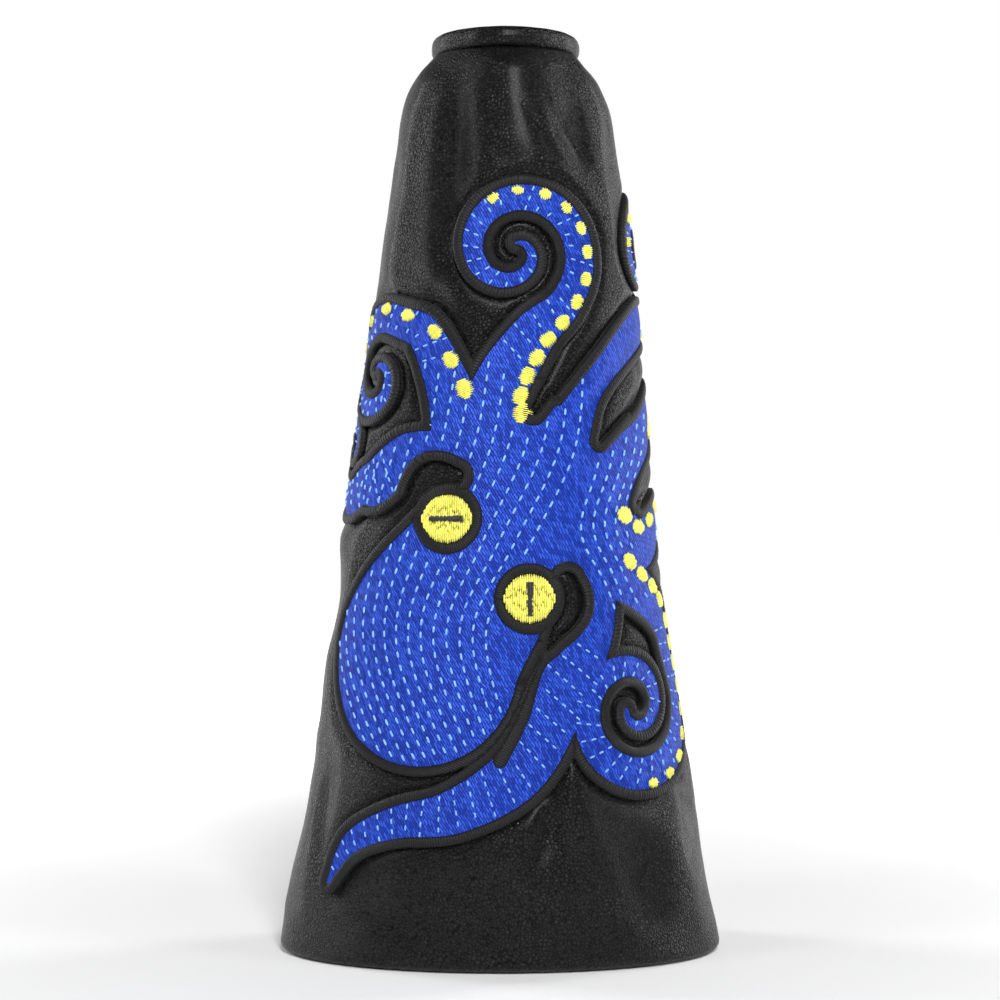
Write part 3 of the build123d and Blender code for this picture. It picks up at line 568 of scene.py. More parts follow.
class Shader:
    """A material's node tree, with short ways to add and join nodes."""

    def __init__(self, name):
        self.material = bpy.data.materials.new(name)
        self.material.use_nodes = True
        self.tree = self.material.node_tree
        self.surface = self.tree.nodes["Principled BSDF"]

    def node(self, kind, settings=None, **inputs):
        made = self.tree.nodes.new(kind)
        for key, value in (settings or {}).items():
            setattr(made, key, value)
        for key, value in inputs.items():
            self.put(made.inputs[key.replace("_", " ")], value)
        return made

    def put(self, socket, value):
        if isinstance(value, bpy.types.NodeSocket):
            self.tree.links.new(value, socket)
        else:
            socket.default_value = value

    def math(self, operation, *values):
        made = self.tree.nodes.new("ShaderNodeMath")
        made.operation = operation
        for socket, value in zip(made.inputs, values):
            self.put(socket, value)
        return made.outputs[0]

    def ramp(self, factor, *stops):
        made = self.tree.nodes.new("ShaderNodeValToRGB")
        self.put(made.inputs[0], factor)
        ramp = made.color_ramp
        while len(ramp.elements) < len(stops):
            ramp.elements.new(0.5)
        for element, (place, colour) in zip(ramp.elements, stops):
            element.position = place
            element.color = colour if len(colour) == 4 else (*colour, 1.0)
        return made.outputs[0]

    def mix(self, factor, one, two):
        made = self.tree.nodes.new("ShaderNodeMix")
        made.data_type = "RGBA"
        self.put(made.inputs[0], factor)
        self.put(made.inputs[6], one)
        self.put(made.inputs[7], two)
        return made.outputs[2]

    def bump(self, height, distance, strength=1.0, onto=None):
        made = self.node("ShaderNodeBump", Strength=strength, Distance=distance, Height=height)
        if onto is not None:
            self.put(made.inputs["Normal"], onto)
        return made.outputs[0]

    def place(self):
        return self.node("ShaderNodeTexCoord").outputs["Object"]

    def panel(self):
        return self.node("ShaderNodeUVMap", {"uv_map": "Panel"}).outputs[0]

    def set(self, **inputs):
        for key, value in inputs.items():
            self.put(self.surface.inputs[key.replace("_", " ")], value)


def grey(value):
    return (value, value, value, 1.0)


def leather(name, cell_mm=0.66, depth_mm=0.16, dark=(0.0012, 0.0012, 0.0014), light=(0.0040, 0.0040, 0.0043),
            rough=(0.26, 0.42)):
    """Pebble-grained synthetic leather: cells parted by fine creases, pores, glossier worn high spots. The
    creases are painted darker as shade, in the base colour and in a dimmer specular tint, so the cell tops
    read lighter.
    """
    shader = Shader(name)
    place = shader.place()
    wobble = shader.node("ShaderNodeTexNoise", Vector=place, Scale=420.0, Detail=2.0)
    stretch = shader.node("ShaderNodeVectorMath", {"operation": "MULTIPLY_ADD"})
    shader.put(stretch.inputs[0], wobble.outputs["Color"])
    shader.put(stretch.inputs[1], (0.0007, 0.0007, 0.0007))
    shader.put(stretch.inputs[2], place)
    cells = shader.node("ShaderNodeTexVoronoi", {"feature": "DISTANCE_TO_EDGE"}, Vector=stretch.outputs[0],
                        Scale=1000.0 / cell_mm)
    fine = shader.node("ShaderNodeTexVoronoi", {"feature": "DISTANCE_TO_EDGE"}, Vector=stretch.outputs[0],
                       Scale=2150.0 / cell_mm)
    pores = shader.node("ShaderNodeTexNoise", Vector=place, Scale=3800.0, Detail=3.0)
    broad = shader.node("ShaderNodeTexNoise", Vector=place, Scale=55.0, Detail=3.0)
    crease = shader.ramp(cells.outputs["Distance"], (0.02, grey(0.0)), (0.16, grey(0.75)), (0.38, grey(1.0)))
    small = shader.ramp(fine.outputs["Distance"], (0.0, grey(0.0)), (0.16, grey(1.0)))
    height = shader.math("ADD", crease, shader.math("MULTIPLY", small, 0.30))
    height = shader.math("ADD", height, shader.math("MULTIPLY", pores.outputs["Fac"], 0.30))
    shader.set(Normal=shader.bump(height, depth_mm * MM, 0.9))
    # Painted shade: the base colour darkens in the grain's creases, times broad noise that adds random
    # patches of tone.
    crease_shade_tone = shader.math("MULTIPLY", crease, broad.outputs["Fac"])
    shader.set(Base_Color=shader.mix(crease_shade_tone, (*dark, 1.0), (*light, 1.0)))
    shader.set(Roughness=shader.ramp(shader.math("MULTIPLY", crease, broad.outputs["Fac"]),
                                     (0.1, grey(rough[1])), (0.65, grey(rough[0]))))
    # Painted shade in the reflections: the specular tint is dimmed to 0.18 in the grain's creases.
    shader.set(Specular_Tint=shader.mix(crease, grey(0.18), grey(1.0)), Specular_IOR_Level=0.32)
    shader.set(Coat_Weight=0.10, Coat_Roughness=0.24)
    return shader.material


def thread_fill(name, dark, middle, light):
    """Rows of short filling stitches, laid side by side and stepped on a slant."""
    shader = Shader(name)
    mapping = shader.node("ShaderNodeMapping", Vector=shader.panel(), Scale=(10.0, 10.0, 10.0),
                          Rotation=(0.0, 0.0, math.radians(60.0)))
    waver = shader.node("ShaderNodeTexNoise", Vector=mapping.outputs[0], Scale=0.45, Detail=2.0)
    split = shader.node("ShaderNodeSeparateXYZ", Vector=mapping.outputs[0])
    across = shader.math("ADD", split.outputs[1], shader.math("MULTIPLY", waver.outputs["Fac"], 0.9))
    along = shader.math("ADD", split.outputs[0], shader.math("MULTIPLY", across, 0.62))
    joined = shader.node("ShaderNodeCombineXYZ", X=along, Y=across)
    # Painted shade and sheen: the mortar is black, painted shade in the gaps between stitches; the lighter
    # bricks are partly random tone, partly painted sheen.
    bricks = shader.node(
        "ShaderNodeTexBrick", {"offset": 0.5, "offset_frequency": 2, "squash": 1.0}, Vector=joined.outputs[0],
        Scale=1.0, Brick_Width=1.25, Row_Height=0.44, Mortar_Size=0.08, Mortar_Smooth=0.9, Bias=0.0,
        Color1=grey(0.35), Color2=grey(0.85), Mortar=grey(0.0),
    )
    fuzz = shader.node("ShaderNodeTexNoise", Vector=mapping.outputs[0], Scale=6.0, Detail=3.0)
    ridge = shader.math("SINE", shader.math("MULTIPLY", across, 2 * math.pi / 0.44))
    level = shader.math("ADD", bricks.outputs["Color"], shader.math("MULTIPLY", fuzz.outputs["Fac"], 0.35))
    raised = shader.math("MULTIPLY", bricks.outputs["Color"], 1.1)
    height = shader.math("ADD", raised, shader.math("MULTIPLY", ridge, 0.22))
    # The ramp's dark end colours the painted shade in the stitch gaps; its light end is partly painted sheen.
    colour = shader.ramp(level, (0.14, dark), (0.62, middle), (1.15 / 1.2, light))
    shader.set(Base_Color=colour, Roughness=0.5, Specular_IOR_Level=0.14)
    shader.set(Normal=shader.bump(height, 0.16 * MM, 0.85))
    return shader.material


def thread_satin(name, dark, light, pitch=0.42):
    """Satin stitch: fine strands side by side across a line."""
    shader = Shader(name)
    walked = shader.node("ShaderNodeAttribute", {"attribute_name": "along"}).outputs["Fac"]
    fuzz = shader.node("ShaderNodeTexNoise", Vector=shader.place(), Scale=1500.0, Detail=3.0)
    strand = shader.math("SINE", shader.math("MULTIPLY", walked, 2 * math.pi / pitch))
    rows = shader.math("MULTIPLY_ADD", strand, 0.4, 0.4)
    level = shader.math("ADD", rows, shader.math("MULTIPLY", fuzz.outputs["Fac"], 0.3))
    # Painted shade: the colour follows the strand ridges, darker between the strands and lighter on their
    # crests.
    shader.set(Base_Color=shader.mix(level, dark, light), Roughness=0.55, Specular_IOR_Level=0.25)
    shader.set(Sheen_Weight=0.04, Sheen_Roughness=0.45)
    shader.set(Normal=shader.bump(level, 0.14 * MM, 0.8))
    return shader.material


def thread_plain(name, dark, light, rough=0.5, fuzz_scale=2600.0):
    """Loose twisted thread, for raised stitches whose shape is in the mesh."""
    shader = Shader(name)
    fuzz = shader.node("ShaderNodeTexNoise", Vector=shader.place(), Scale=fuzz_scale, Detail=3.0)
    broad = shader.node("ShaderNodeTexNoise", Vector=shader.place(), Scale=420.0, Detail=1.0)
    patches = shader.math("MULTIPLY", broad.outputs["Fac"], 0.4)
    level = shader.math("MULTIPLY_ADD", fuzz.outputs["Fac"], 0.7, patches)
    shader.set(Base_Color=shader.ramp(level, (0.30, dark), (0.72, light)), Roughness=rough)
    shader.set(Specular_IOR_Level=0.45, Sheen_Weight=0.2, Sheen_Roughness=0.4)
    shader.set(Normal=shader.bump(fuzz.outputs["Fac"], 0.10 * MM, 0.7))
    return shader.material


def pile(name, dark, light, scale=1100.0, depth_mm=0.5, sheen=0.5):
    """Short plush pile or brushed cloth."""
    shader = Shader(name)
    tufts = shader.node("ShaderNodeTexNoise", Vector=shader.place(), Scale=scale, Detail=4.0, Roughness=0.7)
    swirl = shader.node("ShaderNodeTexNoise", Vector=shader.place(), Scale=90.0, Detail=2.0)
    swirls = shader.math("MULTIPLY", swirl.outputs["Fac"], 0.4)
    level = shader.math("MULTIPLY_ADD", tufts.outputs["Fac"], 0.8, swirls)
    shader.set(Base_Color=shader.ramp(level, (0.35, dark), (0.80, light)), Roughness=0.9)
    shader.set(Sheen_Weight=sheen, Sheen_Roughness=0.5)
    shader.set(Normal=shader.bump(tufts.outputs["Fac"], depth_mm * MM, 1.0))
    return shader.material


def ribbed(name, dark, light, pitch_mm=1.0):
    """Woven elastic: cords one way, fine weft the other."""
    shader = Shader(name)
    mapping = shader.node("ShaderNodeMapping", Vector=shader.panel(), Scale=(10.0, 10.0, 10.0))
    split = shader.node("ShaderNodeSeparateXYZ", Vector=mapping.outputs[0])
    cords = shader.math("SINE", shader.math("MULTIPLY", split.outputs[1], 2 * math.pi / pitch_mm))
    weft = shader.math("SINE", shader.math("MULTIPLY", split.outputs[0], 2 * math.pi / 0.35))
    level = shader.math("MULTIPLY_ADD", cords, 0.35, shader.math("MULTIPLY_ADD", weft, 0.12, 0.5))
    # Painted shade: the colour follows the cords and weft, darker in their grooves and lighter on their
    # crests.
    shader.set(Base_Color=shader.mix(level, dark, light), Roughness=0.75, Sheen_Weight=0.2)
    shader.set(Normal=shader.bump(level, 0.2 * MM, 0.9))
    return shader.material


def fastener(name, dark, light, spacing_mm, depth_mm):
    """Hook or loop tape: tight rows of little hooks, or a tangle of loops."""
    shader = Shader(name)
    dots = shader.node("ShaderNodeTexVoronoi", Vector=shader.place(), Scale=1000.0 / spacing_mm,
                       Randomness=0.45)
    tangle = shader.node("ShaderNodeTexNoise", Vector=shader.place(), Scale=2400.0, Detail=3.0)
    hooks = shader.math("SUBTRACT", 0.75, dots.outputs["Distance"])
    level = shader.math("MULTIPLY_ADD", tangle.outputs["Fac"], 0.4, hooks)
    # Painted shade: the colour follows the relief, lighter on the hooks and loops and darker between them.
    shader.set(Base_Color=shader.mix(level, dark, light), Roughness=0.6, Sheen_Weight=0.15)
    shader.set(Normal=shader.bump(level, depth_mm * MM, 1.0))
    return shader.material


BLACK_LEATHER = leather("black_grained_leather")
SMOOTH_LEATHER = leather("black_binding_leather", cell_mm=0.6, depth_mm=0.07, rough=(0.34, 0.46))
# Blue fill colours: the dark one is painted shade in the stitch gaps, the light one partly painted sheen.
BLUE_FILL = thread_fill("blue_filling_stitch", rgb(5, 22, 92), rgb(20, 52, 158), rgb(46, 84, 205))
BLACK_SATIN = thread_satin("black_satin_stitch", (0.0015, 0.0015, 0.0018, 1), (0.008, 0.008, 0.009, 1))
BLACK_THREAD = thread_plain("black_thread", (0.005, 0.005, 0.006, 1), (0.03, 0.03, 0.034, 1))
YELLOW_THREAD = thread_plain("yellow_thread", rgb(196, 190, 62), rgb(250, 246, 118), rough=0.42)
LIGHT_THREAD = thread_plain("light_blue_thread", rgb(84, 140, 230), rgb(146, 192, 255))
PLUSH_PILE = pile("black_plush", (0.006, 0.006, 0.007, 1), (0.04, 0.04, 0.045, 1))
FLAP_CLOTH = pile("black_brushed_cloth", (0.008, 0.008, 0.009, 1), (0.035, 0.035, 0.04, 1), 2200.0, 0.15, 0.3)
FOAM_CELLS = pile("cream_foam", (0.45, 0.43, 0.36, 1), (0.75, 0.72, 0.64, 1), 1800.0, 0.2, 0.0)
ELASTIC = ribbed("black_elastic", (0.006, 0.006, 0.007, 1), (0.045, 0.045, 0.05, 1))
HOOKS = fastener("hook_tape", (0.004, 0.004, 0.004, 1), (0.04, 0.04, 0.044, 1), 1.1, 0.6)
LOOPS = fastener("loop_tape", (0.006, 0.006, 0.006, 1), (0.04, 0.04, 0.044, 1), 0.55, 0.35)


def settle(piece, body, slot, material, *nodes):
    """Gives a piece its material and its body, and hides the CAD nodes that it stands for. The slot is not
    used.
    """
    piece.data.materials.clear()
    piece.data.materials.append(material)
    present = [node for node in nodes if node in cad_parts]
    if present:
        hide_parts(*present)
    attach(piece, body)
    return piece


# ---------------------------------------------------------------- leather panels
V_LOW = HEM_ROLL - HEM_ROLL * math.pi / 2 - 1.2
WALL_V = np.concatenate([np.linspace(V_LOW, 3.0, 14)[:-1], np.arange(3.0, SLEEVE_TOP, 0.55), [SLEEVE_TOP]])


def low_fade(v):
    """Keeps the hem's roll plain and the panel's top edge under the ring."""
    return np.clip((v - 2.0) / 6.0, 0, 1) * np.clip((SLEEVE_TOP - v) / 3.0, 0, 1)


def front_out(turn, v, inset=0.0):
    """The front leather's outer face, or a face inset from it."""
    z = np.clip(v, 0, TABLE_TOP)
    growth = front_growth(sideways_of(turn, z), z) * low_fade(v) + seam_dip(turn)
    return wall_point(turn, v, growth - inset)


def front_in(turn, v):
    return front_out(turn, v, LEATHER)


def panel_uv(turn, v):
    return sideways_of(turn, np.clip(v, 0, TABLE_TOP)), v


def round_uv(turn, v):
    return round_sideways(turn, v), v


front_panel = sheet_mesh(
    "front_panel", np.linspace(-SEAM_DEG, SEAM_DEG, 331), WALL_V, lambda u, v: 1.0 + 0 * u,
    front_out, front_in, panel_uv,
)
settle(front_panel, "sleeve", "leather", BLACK_LEATHER, "front_shell")


def back_x(turn, z, growth=0.0):
    a, _, drift = section(np.clip(z, 0, SLEEVE_TOP))
    return drift + (a + growth) * np.sin(np.radians(turn))


def back_turn(x, z, growth=0.0):
    a, _, drift = section(np.clip(z, 0, SLEEVE_TOP))
    return 180.0 - np.degrees(np.arcsin(np.clip((x - drift) / (a + growth), -0.999, 0.999)))


def slit_middle(z):
    return 8.0 - 3.0 * z / SLIT_TOP


def slit_half(z):
    return 6.5 + (3.2 - 6.5) * (z + 1.0) / (SLIT_TOP + 1.0)


def off_slit(turn, z, growth=0.0):
    """Distance outside the slit's edge."""
    x = back_x(turn, z, growth)
    low = np.abs(x - slit_middle(z)) - slit_half(z)
    high = np.hypot(x - slit_middle(SLIT_TOP), z - SLIT_TOP) - slit_half(SLIT_TOP)
    return np.where(z < SLIT_TOP, low, high)


def off_back_seam(turn, z):
    """Distance to the right, +X, of the back seam and the slit's middle."""
    return back_x(turn, z) - slit_middle(z)


def back_growth(turn, v):
    z = np.clip(v, 0, TABLE_TOP)
    seam = np.where(z > SLIT_TOP, -0.9 * np.exp(-((off_back_seam(turn, z) / 1.1) ** 2)), 0.0)
    s = sideways_of(turn, z)
    soft = 0.38 * soft_noise(s, z, 14.0, 2) + 0.18 * soft_noise(s, z, 5.5, 3)
    gathers = 0.35 * np.cos(np.radians(turn) * 15.0) * np.exp(-(TABLE_TOP - z) / 9.0)
    near_slit = -0.3 * np.exp(-((off_slit(turn, z) - 3.4) / 1.2) ** 2)
    return (soft + gathers + near_slit) * low_fade(v) + seam + seam_dip(turn)


def back_out(turn, v):
    return wall_point(turn, v, back_growth(turn, v))


def back_in(turn, v):
    return wall_point(turn, v, back_growth(turn, v) - LEATHER)


def back_half(side):
    """The field of one back panel: positive on its own side of the seam and off the slit."""

    def field(turn, v):
        z = np.clip(v, 0, TABLE_TOP)
        return np.minimum(side * off_back_seam(turn, z), off_slit(turn, z))

    return field


BACK_U = np.linspace(SEAM_DEG, 360.0 - SEAM_DEG, 111)
for side, label in ((-1, "left"), (1, "right")):
    panel = sheet_mesh(
        f"back_{label}_panel", BACK_U, WALL_V, back_half(side), back_out, back_in, panel_uv,
    )
    settle(panel, "sleeve", "leather", BLACK_LEATHER, f"back_{label}_shell")

# ---------------------------------------------------------------- padding and lining
INSIDE_V = np.concatenate([np.arange(1.4, 164.0, 2.0), [164.2]])
ROUND_U = np.linspace(-190.0, 170.0, 241)
FOAM_OUT, FOAM_IN = -LEATHER - 0.75, -LEATHER - FOAM


def round_off_slit(turn, z):
    """Distance outside the slit's edge, for turns of the whole round."""
    return off_slit(np.where(turn < 0, turn + 360.0, turn), z) - 0.05


front_foam = sheet_mesh(
    "front_foam_pad", np.linspace(-SEAM_DEG + 1, SEAM_DEG - 1, 93), INSIDE_V, lambda u, v: 1.0 + 0 * u,
    lambda u, v: form(u, v, FOAM_OUT), lambda u, v: form(u, v, FOAM_IN), panel_uv,
)
settle(front_foam, "sleeve", "foam", FOAM_CELLS, "front_foam")
back_foam = sheet_mesh(
    "back_foam_pad", np.linspace(SEAM_DEG + 1, 359.0 - SEAM_DEG, 61), INSIDE_V,
    lambda u, v: off_slit(u, v) - 0.1,
    lambda u, v: form(u, v, FOAM_OUT), lambda u, v: form(u, v, FOAM_IN), panel_uv,
)
settle(back_foam, "sleeve", "foam", FOAM_CELLS, "back_foam")


def plush_in(turn, z):
    s = round_sideways(turn, z)
    lumps = 0.22 * soft_noise(s, z, 3.0, 4) + 0.2 * soft_noise(s, z, 9.0, 5)
    return form(turn, z, FOAM_IN - PLUSH + lumps)


lining = sheet_mesh(
    "plush_lining", ROUND_U, np.concatenate([np.arange(13.4, 164.0, 1.2), [164.3]]),
    round_off_slit, lambda u, v: form(u, v, FOAM_IN - 0.02), plush_in, round_uv,
)
settle(lining, "sleeve", "plush", PLUSH_PILE, "front_lining", "back_lining")


def disc(name, profile, around=96):
    """A closed round piece through (radius, height) rings, from its outer bottom round to its top middle."""
    angles = [2 * math.pi * k / around for k in range(around)]
    return sweep(name, [
        [(TOE_X + radius * math.cos(angle), AXIS_Y + radius * math.sin(angle), height) for angle in angles]
        for radius, height in profile
    ])


toe_lining = disc("toe_lining_disc", [(8.2, 164.5), (8.4, 165.0), (8.2, 166.0), (4.0, 166.1)])
settle(toe_lining, "sleeve", "plush", PLUSH_PILE, "toe_lining")


def rolled_edge(v):
    """How much of the facing's rolled lower edge a height has, from 1 at the very edge."""
    return np.clip(1 - v / 1.2, 0, 1) ** 2


def facing_in(turn, v):
    """The facing's inner face, rolled at its lower edge and drawn in where its top edge is sewn."""
    sewn = 0.25 * np.exp(-((v - 13.6) / 0.5) ** 2)
    return form(turn, v, -5.0 + 0.7 * rolled_edge(v) + 0.12 * np.cos(v * 0.9) - sewn)


hem_facing = sheet_mesh(
    "hem_facing_band", ROUND_U, np.concatenate([np.linspace(0.25, 1.4, 5), np.arange(2.0, 14.1, 1.0)]),
    round_off_slit, lambda u, v: form(u, v, -3.35 - 0.9 * rolled_edge(v)), facing_in, round_uv,
)
settle(hem_facing, "sleeve", "binding", SMOOTH_LEATHER, "hem_facing")

# ---------------------------------------------------------------- toe end
ring_box = [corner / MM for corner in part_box("toe_ring")]
RING_RADIUS = (ring_box[1].x - ring_box[0].x) / 2
RING_LOW, RING_HIGH = ring_box[0].z, ring_box[1].z


def toe_ring_rings():
    """Cross-sections of the rolled band round the toe, softly creased."""
    rings = []
    half_high, half_wide = (RING_HIGH - RING_LOW) / 2, 1.55
    for k in range(180):
        angle = 2 * math.pi * k / 180
        soft = 0.10 * math.sin(3 * angle + 0.6) + 0.07 * math.sin(7 * angle)
        soft = soft + 0.05 * math.sin(19 * angle + 1.0)
        ring = []
        for m in range(20):
            around = 2 * math.pi * m / 20
            c, s = math.cos(around), math.sin(around)
            radial = math.copysign(abs(c) ** 0.75, c) * half_wide
            upward = math.copysign(abs(s) ** 0.80, s) * half_high
            radius = RING_RADIUS - half_wide - 0.1 + radial + soft * 0.5
            sag = 0.25 * math.cos(angle + 0.4) if upward < 0 else 0.15 * math.cos(2 * angle)
            ring.append((
                TOE_X + radius * math.cos(angle),
                AXIS_Y + radius * math.sin(angle),
                (RING_LOW + RING_HIGH) / 2 + upward * (0.97 + 0.02 * soft) + sag * 0.3 - 0.1,
            ))
        rings.append(ring)
    return rings


toe_ring = sweep("toe_ring_band", toe_ring_rings(), closed_path=True)
settle(toe_ring, "sleeve", "leather", BLACK_LEATHER, "toe_ring")
TOE_CAP_PROFILE = [(11.6, 165.9), (11.7, 166.6), (11.2, 167.3), (9.0, 167.75), (6.0, 167.95), (2.0, 168.0)]
toe_cap = disc("toe_cap_disc", TOE_CAP_PROFILE)
settle(toe_cap, "sleeve", "leather", BLACK_LEATHER, "toe_cap")

# ---------------------------------------------------------------- slit binding, gusset and closure patches


def slit_path(margin, low=0.4, pitch=1.0):
    """The slit's outline moved outward by a margin: up its left side, over its top and down its right."""
    levels = np.arange(low, SLIT_TOP, pitch)
    left = [(slit_middle(z) - slit_half(z) - margin, z) for z in levels]
    right = [(slit_middle(z) + slit_half(z) + margin, z) for z in levels[::-1]]
    radius = slit_half(SLIT_TOP) + margin
    top = [(slit_middle(SLIT_TOP) - radius * math.cos(angle), SLIT_TOP + radius * math.sin(angle))
           for angle in np.linspace(0, math.pi, 15)]
    return np.array(left + top + right)


# Distance outside the slit's edge, and growth.
BINDING_PROFILE = [
    (3.2, 0.05), (3.05, 0.42), (2.2, 0.52), (1.0, 0.60), (0.0, 0.52), (-0.6, 0.15), (-0.9, -0.6),
    (-0.95, -2.6), (-0.9, -4.5), (-0.6, -5.2), (0.0, -5.5), (1.6, -5.6), (3.05, -5.5), (3.2, -5.1),
    (3.0, -4.95), (0.2, -4.9), (-0.3, -4.4), (-0.35, -0.8), (0.2, -0.12), (3.0, -0.08),
]
slit_runs = []
for margin, growth in BINDING_PROFILE:
    path_x, path_z = slit_path(margin).T
    slit_runs.append(form(back_turn(path_x, path_z), path_z, growth))
slit_binding = sweep("slit_binding_strip", np.stack(slit_runs, axis=1))
settle(slit_binding, "sleeve", "binding", SMOOTH_LEATHER, "slit_binding")

gusset = sheet_mesh(
    "slit_gusset_elastic", np.linspace(150.0, 182.0, 61), np.arange(68.0, 98.5, 0.5),
    lambda u, v: 0.6 - off_slit(u, v, -2.8) - 0.9,  # just under the binding's edge
    lambda u, v: form(u, v, -2.2 + 0.16 * np.sin(v * 2 * math.pi / 1.6) + 0.1 * np.sin(np.radians(u) * 90)),
    lambda u, v: form(u, v, -3.4 + 0.16 * np.sin(v * 2 * math.pi / 1.6)),
    panel_uv,
)
settle(gusset, "sleeve", "elastic", ELASTIC, "slit_gusset")

PATCH_MIDDLE, PATCH_HALF, PATCH_LOW, PATCH_HIGH, PATCH_ROUND = -7.0, 4.0, 16.0, 76.0, 2.0


def patch_depth(turn, z, growth):
    """Distance inside the rounded oblong of the fastener patches."""
    x = back_x(turn, z, growth)
    dx = np.abs(x - PATCH_MIDDLE) - (PATCH_HALF - PATCH_ROUND)
    dz = np.abs(z - (PATCH_LOW + PATCH_HIGH) / 2) - ((PATCH_HIGH - PATCH_LOW) / 2 - PATCH_ROUND)
    outside = np.hypot(np.maximum(dx, 0), np.maximum(dz, 0)) + np.minimum(np.maximum(dx, dz), 0)
    return PATCH_ROUND - outside


def patch_edge(turn, z, growth):
    """How near a patch's edge a point lies, from 1 on the edge to 0 inside."""
    return np.exp(-patch_depth(turn, z, growth) / 0.35)


PATCH_U, PATCH_V = np.linspace(183.0, 206.0, 61), np.arange(15.5, 76.6, 0.5)


def patch_tufts(turn, z, size, seed):
    return size * soft_noise(np.asarray(turn) * 0.6, z, 0.7, seed)


loop_patch = sheet_mesh(
    "loop_patch_tape", PATCH_U, PATCH_V, lambda u, v: patch_depth(u, v, 0.5),
    lambda u, v: form(u, v, 0.78 + patch_tufts(u, v, 0.10, 2) - 0.35 * patch_edge(u, v, 0.5)),
    lambda u, v: form(u, v, -0.35), panel_uv,
)
settle(loop_patch, "sleeve", "hook_and_loop", LOOPS, "loop_patch")
hook_patch = sheet_mesh(
    "hook_patch_tape", PATCH_U, PATCH_V, lambda u, v: patch_depth(u, v, 1.6),
    lambda u, v: form(u, v, 2.25),
    lambda u, v: form(u, v, 1.3 + patch_tufts(u, v, 0.10, 3) + 0.4 * patch_edge(u, v, 1.6)),
    panel_uv,
)
settle(hook_patch, "closure_flap", "hook_and_loop", HOOKS, "hook_patch")

# ---------------------------------------------------------------- closure flap
FLAP_LOW, FLAP_HIGH, FLAP_HIGH_FREE = 5.0, 92.0, 84.0
FLAP_FREE_LOW, FLAP_FREE_HIGH, FLAP_CORNER = -17.5, -14.5, 11.0
FLAP_IN, FLAP_MID, FLAP_OUT, HINGE_GROWTH = 2.1, 2.9, 4.1, 4.4
STRIP = 4.6
HINGE_END_TURN = 180.0 - math.degrees(math.asin(0.60))
FLAP_SKIN = 3.4  # the growth at which the flap's outline is laid


def hinge_x(z):
    """The hinge line, straight between the flap's two ends."""
    low, high = [back_x(HINGE_END_TURN, np.array(end)) for end in (FLAP_LOW, FLAP_HIGH)]
    return low + (high - low) * (z - FLAP_LOW) / (FLAP_HIGH - FLAP_LOW)


def rounded(points, radius, steps=9):
    """Straight runs between points, with the inner corners rounded."""
    points = [np.array(point, float) for point in points]
    path = [points[0]]
    for before, here, after in zip(points, points[1:], points[2:]):
        one, two = before - here, after - here
        one, two = one / np.linalg.norm(one), two / np.linalg.norm(two)
        half = math.acos(float(one @ two)) / 2
        middle = here + (one + two) / np.linalg.norm(one + two) * radius / math.sin(half)
        start, end = here + one * radius / math.tan(half), here + two * radius / math.tan(half)
        for t in np.linspace(0, 1, steps):
            spoke = (start - middle) * (1 - t) + (end - middle) * t
            path.append(middle + spoke / np.linalg.norm(spoke) * radius)
    path.append(points[-1])
    return np.array(path)


FREE_EDGE = rounded(
    [(hinge_x(FLAP_HIGH) - 0.4, FLAP_HIGH), (FLAP_FREE_HIGH, FLAP_HIGH_FREE), (FLAP_FREE_LOW, FLAP_LOW),
     (hinge_x(FLAP_LOW) - 0.4, FLAP_LOW)], FLAP_CORNER,
)


def inside_outline(outline, x, z):
    """Signed distance inside a closed outline of (x, z) points."""
    shape = x.shape
    x, z = x.ravel(), z.ravel()
    nearest = np.full(x.shape, 1e9)
    crossings = np.zeros(x.shape, int)
    for (x0, z0), (x1, z1) in zip(outline, np.roll(outline, -1, axis=0)):
        dx, dz = x1 - x0, z1 - z0
        t = np.clip(((x - x0) * dx + (z - z0) * dz) / (dx * dx + dz * dz + 1e-12), 0, 1)
        nearest = np.minimum(nearest, np.hypot(x - x0 - t * dx, z - z0 - t * dz))
        spans = (z0 > z) != (z1 > z)
        crossings += spans & (x < x0 + (z - z0) * dx / (dz if abs(dz) > 1e-9 else 1e-9))
    return np.where(crossings % 2 == 1, nearest, -nearest).reshape(shape)


LEATHER_OUTLINE = np.vstack([
    FREE_EDGE, [(hinge_x(FLAP_LOW) + STRIP, FLAP_LOW), (hinge_x(FLAP_HIGH) + STRIP, FLAP_HIGH)],
])
FLAP_U, FLAP_V = np.linspace(128.0, 212.0, 141), np.arange(4.5, 92.6, 0.6)


def flap_depth(turn, z):
    return inside_outline(LEATHER_OUTLINE, back_x(turn, z, FLAP_SKIN), z)


def flap_rise(turn, z):
    """The flap leather's outer growth: padded in the middle, down by its binding and on the sewn strip."""
    x = back_x(turn, z, FLAP_SKIN)
    strip = np.clip((x - hinge_x(z) - 0.6) / (STRIP - 0.6), 0, 1)
    down = (3 * strip**2 - 2 * strip**3) * (FLAP_OUT - 0.95)
    free = inside_outline(np.vstack([FREE_EDGE, [(60.0, FLAP_LOW), (60.0, FLAP_HIGH)]]), x, z)
    puff = 0.35 * (1 - np.exp(-np.clip(free - 2.6, 0, 30) / 3.0))
    puff = puff - 0.35 * np.exp(-((free - 2.9) / 0.8) ** 2)
    groove = -0.35 * np.exp(-((x - hinge_x(z)) / 1.0) ** 2)
    s = round_sideways(turn, z)
    return FLAP_OUT - down + (puff + 0.2 * soft_noise(s, z, 12.0, 1)) * (1 - strip) + groove


